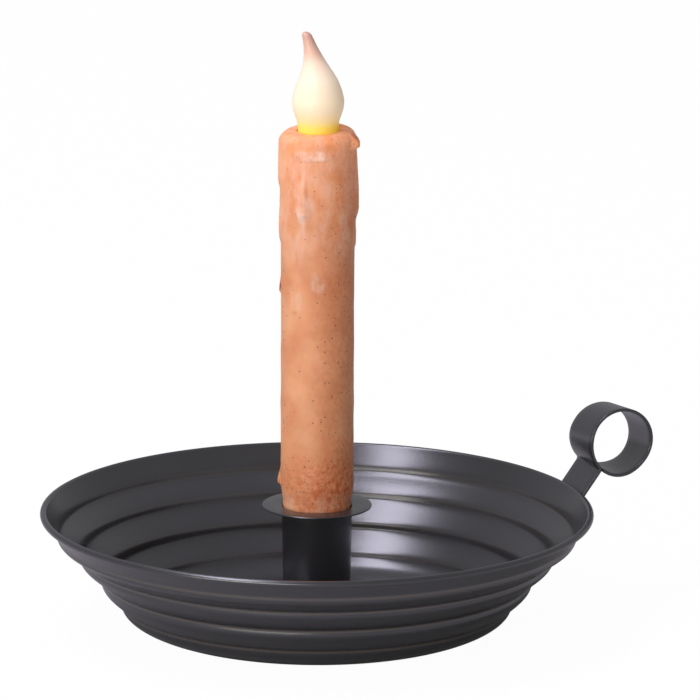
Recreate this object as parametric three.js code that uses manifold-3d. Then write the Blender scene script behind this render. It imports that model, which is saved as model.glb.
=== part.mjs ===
// Chamberstick: a ribbed sheet-steel pan with a ring handle and a battery taper candle.
// The pan carries a drawn candle cup on its floor and a bent strip handle on its wall.
// The candle is a plastic tube holding two cells, a lamp board and a soft flame,
// dipped in wax, and closed below by a bayonet cap that carries the slide switch.
// Units are millimetres. +Z is up, +X points to the handle, and the origin lies on
// the pan's axis at the level of the table.
import * as THREE from 'three';
import { mergeVertices } from 'three/addons/utils/BufferGeometryUtils.js';
import Module from 'manifold-3d';

const wasm = await Module();
wasm.setup();

// Clearances
const SEAT_GAP = 0.3; // between pieces that rest on or run beside each other
const COAT_GAP = 0.2; // between the wax and the tube that it was dipped on

// Sheet-steel pan
const SHEET = 0.6;
const RIM_RADIUS = 91.6; // to the outside of the rolled rim
const BEAD_RADIUS = 1.15; // outside of the rolled rim's section
const CURL_SWEEP = 265; // degrees that the sheet is rolled through
const BASE_RADIUS = 52.0; // the flat that stands on the table
// How far each rib's lower crease lies below and inside its upper one
const RIM_RIB_DROP = 6.2;
const RIM_RIB_INSET = 3.9;
const UPPER_RIB_DROP = 6.7;
const UPPER_RIB_INSET = 7.5;
const MIDDLE_RIB_DROP = 8.2;
const MIDDLE_RIB_INSET = 7.4;
const LOWER_RIB_DROP = 8.7;
const LOWER_RIB_INSET = 6.5;
const FOOT_DROP = 8.2; // from the lowest crease to the table
// Directions in degrees, and the share of a rib's length that each is held for
const RIM_WALL = { angle: -90, pull: 0.4 }; // the way the wall leaves the rolled rim
const RISER = { angle: -70, pull: 0.27 }; // the way a rib leaves the crease above it
const TREAD = { angle: 212, pull: 0.82 }; // the way it runs into the crease below it
const FOOT = { angle: -70, pull: 0.35 }; // the way the lowest rib leaves its crease
const SOLE = { angle: 180, pull: 0.02 }; // the way it runs into the flat base

// Candle cup, drawn in one piece with its drip flange
const CUP_HEIGHT = 40.9; // from the pan's floor to the top of the flange
const CUP_CORNER = 1.2; // inside radius round its floor
const CUP_LIP = 0.8; // inside radius of the mouth
const CUP_PLAY = 0.35; // between the cup and the candle's foot
const FLANGE_RADIUS = 18.15;

// Ring handle, one bent strip
const STRIP = 1.0;
const STRIP_WIDTH = 18.4;
const HANDLE_ANGLE = 53; // degrees that the stem rises from level
const RING_RADIUS = 11.25; // outside
const STEM_OFFSET = 1.2; // how far the stem lies to one side of the ring's centre
const NECK_BEND = 1.1; // inside radius where the stem turns into the ring
const NECK_LENGTH = 7.7; // from the top of the rim, along the stem, to the ring
const STEM_ON_WALL = 20; // length of stem that lies on the pan's wall
const RING_TWIST = 6; // degrees, the set that the bent ring keeps

// Battery candle, from the outside in
const WAX_THICKNESS = 1.95; // plain lower length
const OVERDIP = 0.5; // second dip of the upper length
const OVERDIP_LENGTH = 36; // from the top down to where it has thinned out by half
const OVERDIP_FADE = 26;
const WAX_FOOT_TAPER = 0.8; // how much thinner it is where it meets the flange
const WAX_FOOT_LENGTH = 9; // height over which it swells to the full radius
const WAX_IN_CUP = 3.4;
const WAX_IN_CUP_THICKNESS = 0.7;
const WAX_OVER_COLLAR = 0.7;
const WAX_SHOULDER = 2.6;
const TUBE_WALL = 1.7;
const TUBE_LENGTH = 155.2;

// Cells of the common AA size
const CELL_RADIUS = 7.25;
const CELL_LENGTH = 50.5;
const CELL_NUB_RADIUS = 2.6;
const CELL_NUB_HEIGHT = 1.2;

// Lamp at the top of the tube
const CARRIER_FLANGE = 2.0;
const CARRIER_WALL = 1.0;
const COLLAR_RADIUS = 6.0;
const COLLAR_HEIGHT = 6.0;
const LEAD_SPACING = 2.54;
const LEAD_SIDE = 0.5;
const LED_RADIUS = 2.5;
const LED_HEIGHT = 8.4;
const LED_FLANGE_RADIUS = 2.9;
const LED_FLANGE = 1.0;
const BOARD_THICKNESS = 1.2;
const CHIP = { length: 4.9, width: 3.9, height: 1.5 };
const TOP_CONTACT_RADIUS = 3.2;
const TOP_CONTACT_HEIGHT = 2.5;
const TOP_CONTACT_LIP = 1.0;
const CONTACT_SHEET = 0.3;
const CONTACT_STRIP_WIDTH = 3.0;
const CONTACT_STRIP_PLAY = 0.35; // between the strip and the tube
const LEAF_INSET = 0.45; // how far the leaf ends inside the ring's band

// Soft flame over the lamp
const FLAME_WALL = 1.0;
const FLAME_BELLY_RADIUS = 8.6;
const FLAME_BELLY_RISE = 10; // belly above the wax
const FLAME_RISE = 33.2; // tip above the wax
const FLAME_TIP_RADIUS = 1.5;
const FLAME_SHOULDER = 3.0; // part of the radius that narrows in a straight line
const FLAME_PINCH = 3.1; // how sharply the rest narrows above the belly
const FLAME_CAVITY_RISE = 19; // top of the hollow above the wax
const FLAME_LEAN = 4.2; // how far the tip is bent aside
const FLAME_LEAN_START = 0.5; // share of the flame's rise that stays upright
const FLAME_LEAN_AZIMUTH = 157; // degrees from +X
const FLAME_LEAN_CURVE = 1.35; // above 1, the bend grows towards the tip

// Bayonet cap with the switch
const CAP_RIM = 3.0;
const CAP_EDGE = 0.9;
const PLUG_LENGTH = 14.0;
const PLUG_WALL = 1.1;
const PLUG_LEDGE = 0.7;
const LUG = { width: 3.0, height: 2.2, rise: 3.5 }; // rise above the cap's rim
const LUG_REACH = 1.4; // how far a lug stands out of the plug
const LUG_COUNT = 2;
const BAYONET_TURN = 40; // degrees from locked to free
const BAYONET_PLAY = 0.3;
const INSULATOR = 2.0;
const CONTACT_RING_INSET = 0.1; // inside the ledge's bore
const CONTACT_RING_BAND = 1.2;
const SPRING_PLAY = 0.4; // between the spring and the contact ring
const SPRING_TOP_RADIUS = 2.6;
const SPRING_WIRE = 0.8;
const SPRING_TURNS = 4;
const SPRING_HEIGHT = 9.4; // squeezed by the cells
const SWITCH = { length: 8.6, width: 3.8, height: 3.4 };
const KNOB = { length: 2.2, width: 1.8 };
const KNOB_TRAVEL = 2.0;
const THUMB_POCKET = { length: 8.0, width: 5.0, depth: 1.5 };
const KNOB_RECESS = 0.4; // how deep the knob's face lies in the pocket
const WIRE_RADIUS = 0.4; // sleeved wire
const WIRE_FOOT = 3.0; // wire's start on the switch, from the axis

// Facets round each turned piece
const PAN_FACETS = 56;
const CUP_FACETS = 36;
const WAX_FACETS = 36;
const TUBE_FACETS = 28;
const SMALL_FACETS = 20;
const RIB_STEPS = 4;
const CURL_STEPS = 6;

// Runs of wax: where each lies round the candle, how far below the wax's top it starts
// and ends, and its size
const RUNS = [
  { azimuth: -134, start: 14, end: 28, width: 3.4, height: 0.9 },
  { azimuth: 161, start: -2, end: 18, width: 6.0, height: 0.75 },
  { azimuth: 168, start: 21, end: 37, width: 5.0, height: 0.6 },
  { azimuth: -26, start: 5, end: 28.5, width: 6.0, height: 1.0 },
  { azimuth: -35, start: 28, end: 39, width: 4.0, height: 0.55 },
  { azimuth: -42, start: -1, end: 3.6, width: 4.2, height: 1.1 },
  { azimuth: 161, start: 49.5, end: 55, width: 3.4, height: 0.6 },
  { azimuth: -152, start: 51, end: 60, width: 3.0, height: 0.45 },
  { azimuth: 156, start: 115.5, end: 120.5, width: 3.4, height: 1.0 },
  { azimuth: 108, start: 3, end: 32, width: 4.6, height: 0.9 },
  { azimuth: 64, start: 3, end: 23, width: 5.4, height: 0.8 },
  { azimuth: 28, start: 19, end: 43, width: 3.8, height: 0.7 },
  { azimuth: 86, start: 43, end: 57, width: 3.2, height: 0.5 },
];

// How a run swells: shares of its length over which it starts and ends, and how
// quickly it falls away to its sides
const RUN_START = { from: -0.35, to: 0.7 };
const RUN_END = { from: 0.85, to: 1.15 };
const RUN_NARROWING = 4;

// Ribs from the rim down
const RIBS = [
  { drop: RIM_RIB_DROP, inset: RIM_RIB_INSET },
  { drop: UPPER_RIB_DROP, inset: UPPER_RIB_INSET },
  { drop: MIDDLE_RIB_DROP, inset: MIDDLE_RIB_INSET },
  { drop: LOWER_RIB_DROP, inset: LOWER_RIB_INSET },
];

// Radii and heights that follow from the sizes above, from the cells outwards
const STRIP_INSIDE = CELL_RADIUS + SEAT_GAP;
const TUBE_BORE = STRIP_INSIDE + CONTACT_SHEET + CONTACT_STRIP_PLAY;
const TUBE_RADIUS = TUBE_BORE + TUBE_WALL;
const WAX_BORE = TUBE_RADIUS + COAT_GAP;
const WAX_RADIUS = WAX_BORE + WAX_THICKNESS;
const WAX_IN_CUP_RADIUS = WAX_BORE + WAX_IN_CUP_THICKNESS;
const CUP_MOUTH_RADIUS = WAX_IN_CUP_RADIUS + SEAT_GAP;
const CUP_FLOOR_RADIUS = TUBE_RADIUS + CUP_PLAY;
const PLUG_RADIUS = TUBE_BORE - COAT_GAP;
const PLUG_BORE = PLUG_RADIUS - PLUG_WALL;
const LEDGE_BORE = PLUG_BORE - PLUG_LEDGE;
const CONTACT_RING_RADIUS = LEDGE_BORE - CONTACT_RING_INSET;
const CONTACT_RING_BORE = CONTACT_RING_RADIUS - CONTACT_RING_BAND;
const SPRING_BASE_RADIUS = CONTACT_RING_BORE - SPRING_PLAY - SPRING_WIRE / 2;
const BEAD_LEVEL = FOOT_DROP + RIBS.reduce((sum, rib) => sum + rib.drop, 0);
const RIM_TOP = BEAD_LEVEL + BEAD_RADIUS;
const BEAD_CENTRE_RADIUS = RIM_RADIUS - BEAD_RADIUS;
const CUP_BOTTOM = SHEET;
const CUP_TOP = CUP_BOTTOM + CUP_HEIGHT;
const CAP_BOTTOM = CUP_BOTTOM + SHEET + SEAT_GAP;
const CAP_TOP = CAP_BOTTOM + CAP_RIM;
const PLUG_TOP = CAP_TOP + PLUG_LENGTH;
const TUBE_BOTTOM = CAP_TOP + SEAT_GAP;
const TUBE_TOP = TUBE_BOTTOM + TUBE_LENGTH;
const CONTACT_RING_BOTTOM = PLUG_TOP + SEAT_GAP;
const LEAF_BOTTOM = CONTACT_RING_BOTTOM + CONTACT_SHEET + SEAT_GAP;
const SPRING_BOTTOM = PLUG_TOP + SEAT_GAP;
const LOWER_CELL_BOTTOM = SPRING_BOTTOM + SPRING_HEIGHT + SEAT_GAP;
const UPPER_CELL_BOTTOM = LOWER_CELL_BOTTOM + CELL_LENGTH + SEAT_GAP;
const TOP_CONTACT_BOTTOM = UPPER_CELL_BOTTOM + CELL_LENGTH + SEAT_GAP;
const BOARD_BOTTOM = TOP_CONTACT_BOTTOM + TOP_CONTACT_HEIGHT + SEAT_GAP;
const BOARD_TOP = BOARD_BOTTOM + BOARD_THICKNESS;
const CARRIER_BOTTOM = BOARD_TOP + SEAT_GAP;
const CARRIER_SEAT = TUBE_TOP + SEAT_GAP;
const COLLAR_BOTTOM = CARRIER_SEAT + CARRIER_FLANGE;
const COLLAR_TOP = COLLAR_BOTTOM + COLLAR_HEIGHT;
const WAX_TOP = COLLAR_TOP + WAX_OVER_COLLAR;
const LED_BOTTOM = COLLAR_TOP + SEAT_GAP;
const FLAME_BOTTOM = COLLAR_BOTTOM + SEAT_GAP;
const FLAME_NECK_BORE = COLLAR_RADIUS + SEAT_GAP;
const FLAME_NECK_RADIUS = FLAME_NECK_BORE + FLAME_WALL;
const FLAME_HOLE = FLAME_NECK_RADIUS + SEAT_GAP;
const SWITCH_BOTTOM = CAP_TOP + SEAT_GAP;
const SWITCH_TOP = SWITCH_BOTTOM + SWITCH.height;
const INSULATOR_BOTTOM = PLUG_TOP - INSULATOR;
const WIRE_HOLE = WIRE_RADIUS + SEAT_GAP;

const finishes = {
  paintedSteel: { color: 0x2b2b2e, roughness: 0.42, metalness: 0.35 },
  wax: { color: 0xd98a63, roughness: 0.5, metalness: 0 },
  whitePlastic: { color: 0xe9e4d8, roughness: 0.5, metalness: 0 },
  flame: { color: 0xffe2a8, roughness: 0.35, metalness: 0 },
  lens: { color: 0xfff1c4, roughness: 0.15, metalness: 0 },
  tinned: { color: 0xb9bbbd, roughness: 0.3, metalness: 1 },
  board: { color: 0x2f6b3c, roughness: 0.5, metalness: 0 },
  chip: { color: 0x1b1b1d, roughness: 0.6, metalness: 0 },
  cellSleeve: { color: 0x3d4a5c, roughness: 0.4, metalness: 0.2 },
  nickel: { color: 0xc6c3ba, roughness: 0.25, metalness: 1 },
  redSleeve: { color: 0x9c2b25, roughness: 0.45, metalness: 0 },
  blackSleeve: { color: 0x202022, roughness: 0.45, metalness: 0 },
};

const assembly = new THREE.Group();

function addPiece(name, geometry, finish) {
  const material = new THREE.MeshStandardMaterial(finishes[finish]);
  const mesh = new THREE.Mesh(geometry, material);
  mesh.name = name;
  assembly.add(mesh);
  return mesh;
}

function radians(degrees) {
  return THREE.MathUtils.degToRad(degrees);
}

function point(x, y) {
  return new THREE.Vector2(x, y);
}

// A unit step in a direction given in degrees
function heading(degrees) {
  return point(Math.cos(radians(degrees)), Math.sin(radians(degrees)));
}

// Points on an arc, both ends included; angles in degrees
function arc(centre, radius, from, to, steps) {
  const points = [];
  for (let i = 0; i <= steps; i += 1) {
    const step = heading(from + ((to - from) * i) / steps).multiplyScalar(radius);
    points.push(centre.clone().add(step));
  }
  return points;
}

function ring(radius, level) {
  return point(radius, level);
}

// Six times the volume that a closed mesh encloses; negative when it is inside out
function signedVolume(geometry) {
  const { array } = geometry.attributes.position;
  const index = geometry.index.array;
  const corner = (i) => new THREE.Vector3().fromArray(array, 3 * index[i]);
  let sum = 0;
  for (let i = 0; i < index.length; i += 3) {
    sum += corner(i).dot(corner(i + 1).cross(corner(i + 2)));
  }
  return sum;
}

// Shared vertices joined, empty triangles dropped and faces turned outwards
function closed(geometry) {
  const bare = geometry.clone();
  bare.deleteAttribute('normal');
  bare.deleteAttribute('uv');
  const samePlace = 1e-4;
  const merged = mergeVertices(bare, samePlace);
  const kept = [];
  for (let i = 0; i < merged.index.count; i += 3) {
    const [a, b, c] = merged.index.array.slice(i, i + 3);
    if (a !== b && b !== c && c !== a) {
      kept.push(a, b, c);
    }
  }
  merged.setIndex(kept);
  if (signedVolume(merged) < 0) {
    for (let i = 0; i < kept.length; i += 3) {
      [kept[i], kept[i + 1]] = [kept[i + 1], kept[i]];
    }
    merged.setIndex(kept);
  }
  return merged;
}

// A section of radius and height turned round the Z axis
function turned(section, facets) {
  const lathe = new THREE.LatheGeometry(section, facets);
  lathe.rotateX(Math.PI / 2);
  return closed(lathe);
}

// A closed ring section, whose last point meets its first
function turnedRing(section, facets) {
  return turned([...section, section[0].clone()], facets);
}

function block(length, width, height, x, y, bottom) {
  const box = new THREE.BoxGeometry(length, width, height);
  box.translate(x, y, bottom + height / 2);
  return box;
}

function toManifold(geometry) {
  const solid = closed(geometry);
  const vertProperties = new Float32Array(solid.attributes.position.array);
  const triVerts = new Uint32Array(solid.index.array);
  return new wasm.Manifold(new wasm.Mesh({ numProp: 3, vertProperties, triVerts }));
}

function fromManifold(manifold) {
  const mesh = manifold.getMesh();
  const geometry = new THREE.BufferGeometry();
  geometry.setAttribute('position', new THREE.BufferAttribute(mesh.vertProperties, 3));
  geometry.setIndex(new THREE.BufferAttribute(mesh.triVerts, 1));
  return geometry;
}

function cut(body, tools) {
  return fromManifold(tools.reduce((rest, tool) => rest.subtract(toManifold(tool)), toManifold(body)));
}

function joined(pieces) {
  return fromManifold(pieces.map(toManifold).reduce((sum, piece) => sum.add(piece)));
}

// The same path moved sideways by a distance to its left, with blunted corners
function offsetPath(path, distance) {
  const bluntest = 1.2;
  return path.map((here, i) => {
    const before = path[Math.max(i - 1, 0)];
    const after = path[Math.min(i + 1, path.length - 1)];
    const arriving = here.clone().sub(before).normalize();
    const leaving = after.clone().sub(here).normalize();
    const along = arriving.clone().add(leaving).normalize();
    const edge = leaving.lengthSq() > 0 ? leaving : arriving;
    const stretch = Math.min(1 / along.dot(edge), bluntest);
    return point(here.x - along.y * distance * stretch, here.y + along.x * distance * stretch);
  });
}

// Outside of the wall under the rolled rim, then the creases between the ribs, downwards
function panCreases() {
  let radius = BEAD_CENTRE_RADIUS - BEAD_RADIUS + SHEET;
  let level = BEAD_LEVEL;
  const creases = [ring(radius, level)];
  for (const rib of RIBS) {
    radius -= rib.inset;
    level -= rib.drop;
    creases.push(ring(radius, level));
  }
  return creases;
}

// One rib: it bulges out below its upper crease and slopes in to its lower one
function ribCurve(upper, lower, start, end) {
  const length = upper.distanceTo(lower);
  const leaving = heading(start.angle).multiplyScalar(start.pull * length);
  const arriving = heading(end.angle).multiplyScalar(end.pull * length);
  const curve = new THREE.CubicBezierCurve(
    upper,
    upper.clone().add(leaving),
    lower.clone().sub(arriving),
    lower,
  );
  return curve.getPoints(RIB_STEPS);
}

// Outside of the sheet from the middle of the floor up to the rolled rim
function panOutside() {
  const creases = panCreases();
  const foot = ring(BASE_RADIUS, 0);
  const down = [];
  for (let i = 0; i < RIBS.length; i += 1) {
    const start = i === 0 ? RIM_WALL : RISER;
    down.push(...ribCurve(creases[i], creases[i + 1], start, TREAD).slice(0, -1));
  }
  down.push(...ribCurve(creases[RIBS.length], foot, FOOT, SOLE));
  return [ring(0, 0), ...down.reverse()];
}

// The rolled rim: the sheet goes up, over and round outside, and ends under itself
function panSection() {
  const outside = panOutside();
  const inside = offsetPath(outside, SHEET).slice(1, -1);
  const centre = ring(BEAD_CENTRE_RADIUS, BEAD_LEVEL);
  const over = arc(centre, BEAD_RADIUS, 180 - CURL_SWEEP, 180, CURL_STEPS);
  const under = arc(centre, BEAD_RADIUS - SHEET, 180, 180 - CURL_SWEEP, CURL_STEPS);
  return [...outside.slice(0, -1), ...under, ...over, ...inside.reverse(), ring(0, SHEET)];
}

function makePan() {
  return turned(panSection(), PAN_FACETS);
}

// Half of the cup's section: up the outside, out under the flange and back down the bore
function makeCup() {
  const mouth = CUP_MOUTH_RADIUS;
  const floor = CUP_FLOOR_RADIUS;
  const lipSteps = 3;
  const outerCorner = CUP_CORNER + SHEET;
  const bottomCentre = ring(floor + SHEET - outerCorner, CUP_BOTTOM + outerCorner);
  const lipCentre = ring(mouth + CUP_LIP + SHEET, CUP_TOP - SHEET - CUP_LIP);
  const outerLipRadius = CUP_LIP;
  const innerLipRadius = CUP_LIP + SHEET;
  const section = [
    ring(0, CUP_BOTTOM),
    ...arc(bottomCentre, outerCorner, -90, 0, lipSteps),
    ...arc(lipCentre, outerLipRadius, 180, 90, lipSteps),
    ring(FLANGE_RADIUS, CUP_TOP - SHEET),
    ring(FLANGE_RADIUS, CUP_TOP),
    ...arc(lipCentre, innerLipRadius, 90, 180, lipSteps),
    ...arc(bottomCentre, CUP_CORNER, 0, -90, lipSteps),
    ring(0, CUP_BOTTOM + SHEET),
  ];
  return turned(section, CUP_FACETS);
}

// Directions of the handle's stem in the plane of its bend: along it and to its right
function stemFrame() {
  const along = heading(HANDLE_ANGLE);
  const right = point(along.y, -along.x);
  return { along, right };
}

// The strip's outline about the ring's centre: x to the stem's right, y along it
function handleOutline(stemLength) {
  const mid = RING_RADIUS - STRIP / 2;
  const half = STRIP / 2;
  const bend = NECK_BEND + half;
  const bendX = -STEM_OFFSET - bend;
  const bendCentre = point(bendX, -Math.sqrt((mid + bend) ** 2 - bendX ** 2));
  const tangent = THREE.MathUtils.radToDeg(Math.atan2(-bendCentre.y, -bendX));
  const stemFace = half - STEM_OFFSET;
  const freeEnd = -90 + THREE.MathUtils.radToDeg(Math.asin((stemFace + SEAT_GAP) / mid));
  const bendSteps = 6;
  const ringSteps = 40;
  const origin = point(0, 0);
  return [
    point(stemFace, -stemLength),
    ...arc(bendCentre, bend + half, 0, tangent, bendSteps),
    ...arc(origin, mid - half, tangent + 180, freeEnd, ringSteps).slice(1),
    ...arc(origin, mid + half, freeEnd, tangent + 180, ringSteps),
    ...arc(bendCentre, bend - half, tangent, 0, bendSteps).slice(1),
    point(stemFace - STRIP, -stemLength),
  ];
}

// Where the ring's centre lies, with the stem laid on the outermost bends of the wall
function ringCentre() {
  const { along, right } = stemFrame();
  const wall = panSection();
  const outermost = Math.max(...wall.map((here) => here.dot(right)));
  const stemSide = outermost + SEAT_GAP + STRIP / 2;
  const rimAlong = (RIM_TOP - stemSide * right.y) / along.y;
  const reach = rimAlong + NECK_LENGTH + RING_RADIUS;
  const side = stemSide + STEM_OFFSET;
  return right.clone().multiplyScalar(side).add(along.clone().multiplyScalar(reach));
}

function makeHandle() {
  const { along, right } = stemFrame();
  const centre = ringCentre();
  const stemLength = RING_RADIUS + NECK_LENGTH + STEM_ON_WALL;
  const outline = handleOutline(stemLength).map((local) =>
    centre.clone().add(right.clone().multiplyScalar(local.x)).add(along.clone().multiplyScalar(local.y)),
  );
  const strip = new THREE.ExtrudeGeometry(new THREE.Shape(outline), {
    depth: STRIP_WIDTH,
    bevelEnabled: false,
  });
  strip.rotateX(Math.PI / 2);
  strip.translate(0, STRIP_WIDTH / 2, 0);
  return twistedRing(closed(strip), centre, along);
}

// The ring leans a little across the strip's width, and the stem stays true
function twistedRing(geometry, centre, along) {
  const { position } = geometry.attributes;
  const slope = Math.tan(radians(RING_TWIST));
  for (let i = 0; i < position.count; i += 1) {
    const here = point(position.getX(i), position.getZ(i));
    const beyondNeck = here.sub(centre).dot(along) + RING_RADIUS;
    const share = THREE.MathUtils.smoothstep(beyondNeck, 0, RING_RADIUS);
    position.setZ(i, position.getZ(i) - slope * share * position.getY(i));
  }
  return geometry;
}

// Wax that stands proud of the plain taper at a height and an azimuth in degrees
function runSwell(azimuth, level) {
  let swell = 0;
  for (const run of RUNS) {
    const turn = THREE.MathUtils.euclideanModulo(azimuth - run.azimuth + 180, 360) - 180;
    const across = (radians(turn) * WAX_RADIUS) / run.width;
    const down = (WAX_TOP - run.start - level) / (run.end - run.start);
    const sides = Math.exp(-RUN_NARROWING * across * across);
    const start = THREE.MathUtils.smoothstep(down, RUN_START.from, RUN_START.to);
    const drop = 1 - THREE.MathUtils.smoothstep(down, RUN_END.from, RUN_END.to);
    swell = Math.max(swell, run.height * sides * start * drop);
  }
  return swell;
}

// Radius of the dipped wax without its runs
function waxRadius(level) {
  const footShare = THREE.MathUtils.smoothstep(level - CUP_TOP, 0, WAX_FOOT_LENGTH);
  const foot = WAX_FOOT_TAPER * (1 - footShare);
  const dipMiddle = WAX_TOP - OVERDIP_LENGTH;
  const fade = OVERDIP_FADE / 2;
  const dipShare = THREE.MathUtils.smoothstep(level, dipMiddle - fade, dipMiddle + fade);
  return WAX_RADIUS - foot + OVERDIP * dipShare;
}

function makeWax() {
  const rows = 22;
  const shoulderSteps = 4;
  const bottom = CUP_TOP - WAX_IN_CUP;
  const mouthLevel = CUP_TOP - SHEET - CUP_LIP;
  const shoulderLevel = WAX_TOP - WAX_SHOULDER;
  const section = [ring(WAX_IN_CUP_RADIUS, bottom), ring(WAX_IN_CUP_RADIUS, mouthLevel)];
  for (let i = 0; i <= rows; i += 1) {
    const level = CUP_TOP + ((shoulderLevel - CUP_TOP) * i) / rows;
    section.push(ring(waxRadius(level), level));
  }
  const shoulderCentre = ring(waxRadius(shoulderLevel) - WAX_SHOULDER, shoulderLevel);
  section.push(...arc(shoulderCentre, WAX_SHOULDER, 0, 90, shoulderSteps).slice(1));
  section.push(ring(FLAME_HOLE, WAX_TOP));
  section.push(ring(FLAME_HOLE, COLLAR_BOTTOM + SEAT_GAP));
  section.push(ring(WAX_BORE, COLLAR_BOTTOM + SEAT_GAP));
  section.push(ring(WAX_BORE, bottom));
  return withRuns(turnedRing(section, WAX_FACETS));
}

// Pushes the outer skin out where a run lies and leaves the bore as it is
function withRuns(geometry) {
  const { position } = geometry.attributes;
  for (let i = 0; i < position.count; i += 1) {
    const x = position.getX(i);
    const y = position.getY(i);
    const radius = Math.hypot(x, y);
    const level = position.getZ(i);
    if (radius > WAX_BORE + COAT_GAP && level > CUP_TOP) {
      const azimuth = THREE.MathUtils.radToDeg(Math.atan2(y, x));
      const scale = 1 + runSwell(azimuth, level) / radius;
      position.setXY(i, x * scale, y * scale);
    }
  }
  return geometry;
}

// A sector of a ring standing on a level, from one azimuth to another in degrees
function sector(inner, outer, from, to, bottom, height) {
  const degreesPerStep = 6;
  const steps = Math.max(2, Math.ceil((to - from) / degreesPerStep));
  const origin = point(0, 0);
  const outline = [...arc(origin, outer, from, to, steps), ...arc(origin, inner, to, from, steps)];
  const solid = new THREE.ExtrudeGeometry(new THREE.Shape(outline), { depth: height, bevelEnabled: false });
  solid.translate(0, 0, bottom);
  return solid;
}

// Half of the angle that a length takes up at a radius, in degrees
function halfAngle(length, radius) {
  return THREE.MathUtils.radToDeg(length / 2 / radius);
}

// Two slots shaped like an L in the tube's foot take the cap's lugs
function bayonetSlots() {
  const slots = [];
  const through = { inner: TUBE_BORE - TUBE_WALL, outer: TUBE_RADIUS + TUBE_WALL };
  const half = halfAngle(LUG.width + 2 * BAYONET_PLAY, TUBE_BORE);
  const trackBottom = CAP_TOP + LUG.rise - BAYONET_PLAY;
  const trackHeight = LUG.height + 2 * BAYONET_PLAY;
  for (let i = 0; i < LUG_COUNT; i += 1) {
    const locked = (360 / LUG_COUNT) * i;
    const free = locked + BAYONET_TURN;
    slots.push(sector(through.inner, through.outer, locked - half, free + half, trackBottom, trackHeight));
    const entryBottom = TUBE_BOTTOM - TUBE_WALL;
    const entryHeight = trackBottom + trackHeight - entryBottom;
    slots.push(sector(through.inner, through.outer, free - half, free + half, entryBottom, entryHeight));
  }
  return slots;
}

function makeTube() {
  const section = [
    ring(TUBE_BORE, TUBE_BOTTOM),
    ring(TUBE_RADIUS, TUBE_BOTTOM),
    ring(TUBE_RADIUS, TUBE_TOP),
    ring(TUBE_BORE, TUBE_TOP),
  ];
  return cut(turnedRing(section, TUBE_FACETS), bayonetSlots());
}

// The lamp carrier hangs in the tube's top: a sleeve, a flange and a collar for the flame
function makeCarrier() {
  const sleeve = TUBE_BORE - COAT_GAP;
  const section = [
    ring(0, CARRIER_SEAT),
    ring(sleeve - CARRIER_WALL, CARRIER_SEAT),
    ring(sleeve - CARRIER_WALL, CARRIER_BOTTOM),
    ring(sleeve, CARRIER_BOTTOM),
    ring(sleeve, CARRIER_SEAT),
    ring(TUBE_RADIUS, CARRIER_SEAT),
    ring(TUBE_RADIUS, COLLAR_BOTTOM),
    ring(COLLAR_RADIUS, COLLAR_BOTTOM),
    ring(COLLAR_RADIUS, COLLAR_TOP),
    ring(0, COLLAR_TOP),
  ];
  const slotLength = LEAD_SPACING + LEAD_SIDE + 2 * SEAT_GAP;
  const slotWidth = LEAD_SIDE + 2 * SEAT_GAP;
  const over = 1;
  const slotHeight = COLLAR_TOP - CARRIER_SEAT + 2 * over;
  const slot = block(slotLength, slotWidth, slotHeight, 0, 0, CARRIER_SEAT - over);
  return cut(turned(section, TUBE_FACETS), [slot]);
}

// Outside radius of the flame at a share of its rise above the wax
function flameRadius(rise) {
  const belly = FLAME_BELLY_RISE;
  if (rise <= belly) {
    const share = THREE.MathUtils.smootherstep(rise, 0, belly);
    return THREE.MathUtils.lerp(FLAME_NECK_RADIUS, FLAME_BELLY_RADIUS, share);
  }
  const share = (rise - belly) / (FLAME_RISE - belly);
  const straight = FLAME_SHOULDER * (1 - share);
  const curved = FLAME_BELLY_RADIUS - FLAME_TIP_RADIUS - FLAME_SHOULDER;
  return FLAME_TIP_RADIUS + straight + curved * Math.cos((Math.PI / 2) * share) ** FLAME_PINCH;
}

// Sideways shift of the flame's core at a rise above the wax
function flameLean(rise) {
  const start = FLAME_RISE * FLAME_LEAN_START;
  const share = Math.max(0, (rise - start) / (FLAME_RISE - start));
  return FLAME_LEAN * share ** FLAME_LEAN_CURVE;
}

function makeFlame() {
  const outerSteps = 13;
  const innerSteps = 6;
  const tipSteps = 3;
  const roofSquareness = 4;
  const outside = [ring(FLAME_NECK_RADIUS, FLAME_BOTTOM)];
  const tipRise = FLAME_RISE - FLAME_TIP_RADIUS;
  for (let i = 0; i <= outerSteps; i += 1) {
    const rise = (tipRise * i) / outerSteps;
    outside.push(ring(flameRadius(rise), WAX_TOP + rise));
  }
  const last = outside[outside.length - 1];
  for (let i = 1; i <= tipSteps; i += 1) {
    const angle = radians((90 * i) / tipSteps);
    const radius = i === tipSteps ? 0 : last.x * Math.cos(angle);
    outside.push(ring(radius, last.y + FLAME_TIP_RADIUS * Math.sin(angle)));
  }
  const inside = [ring(FLAME_NECK_BORE, FLAME_BOTTOM)];
  for (let i = 0; i < innerSteps; i += 1) {
    const rise = (FLAME_CAVITY_RISE * i) / innerSteps;
    const roof = Math.sqrt(1 - (i / innerSteps) ** roofSquareness);
    inside.push(ring((flameRadius(rise) - FLAME_WALL) * roof, WAX_TOP + rise));
  }
  inside.push(ring(0, WAX_TOP + FLAME_CAVITY_RISE));
  const solid = turned([...inside.reverse(), ...outside], SMALL_FACETS);
  return leaningFlame(solid);
}

function leaningFlame(geometry) {
  const { position } = geometry.attributes;
  const azimuth = radians(FLAME_LEAN_AZIMUTH);
  for (let i = 0; i < position.count; i += 1) {
    const shift = flameLean(position.getZ(i) - WAX_TOP);
    position.setX(i, position.getX(i) + shift * Math.cos(azimuth));
    position.setY(i, position.getY(i) + shift * Math.sin(azimuth));
  }
  return geometry;
}

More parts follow.
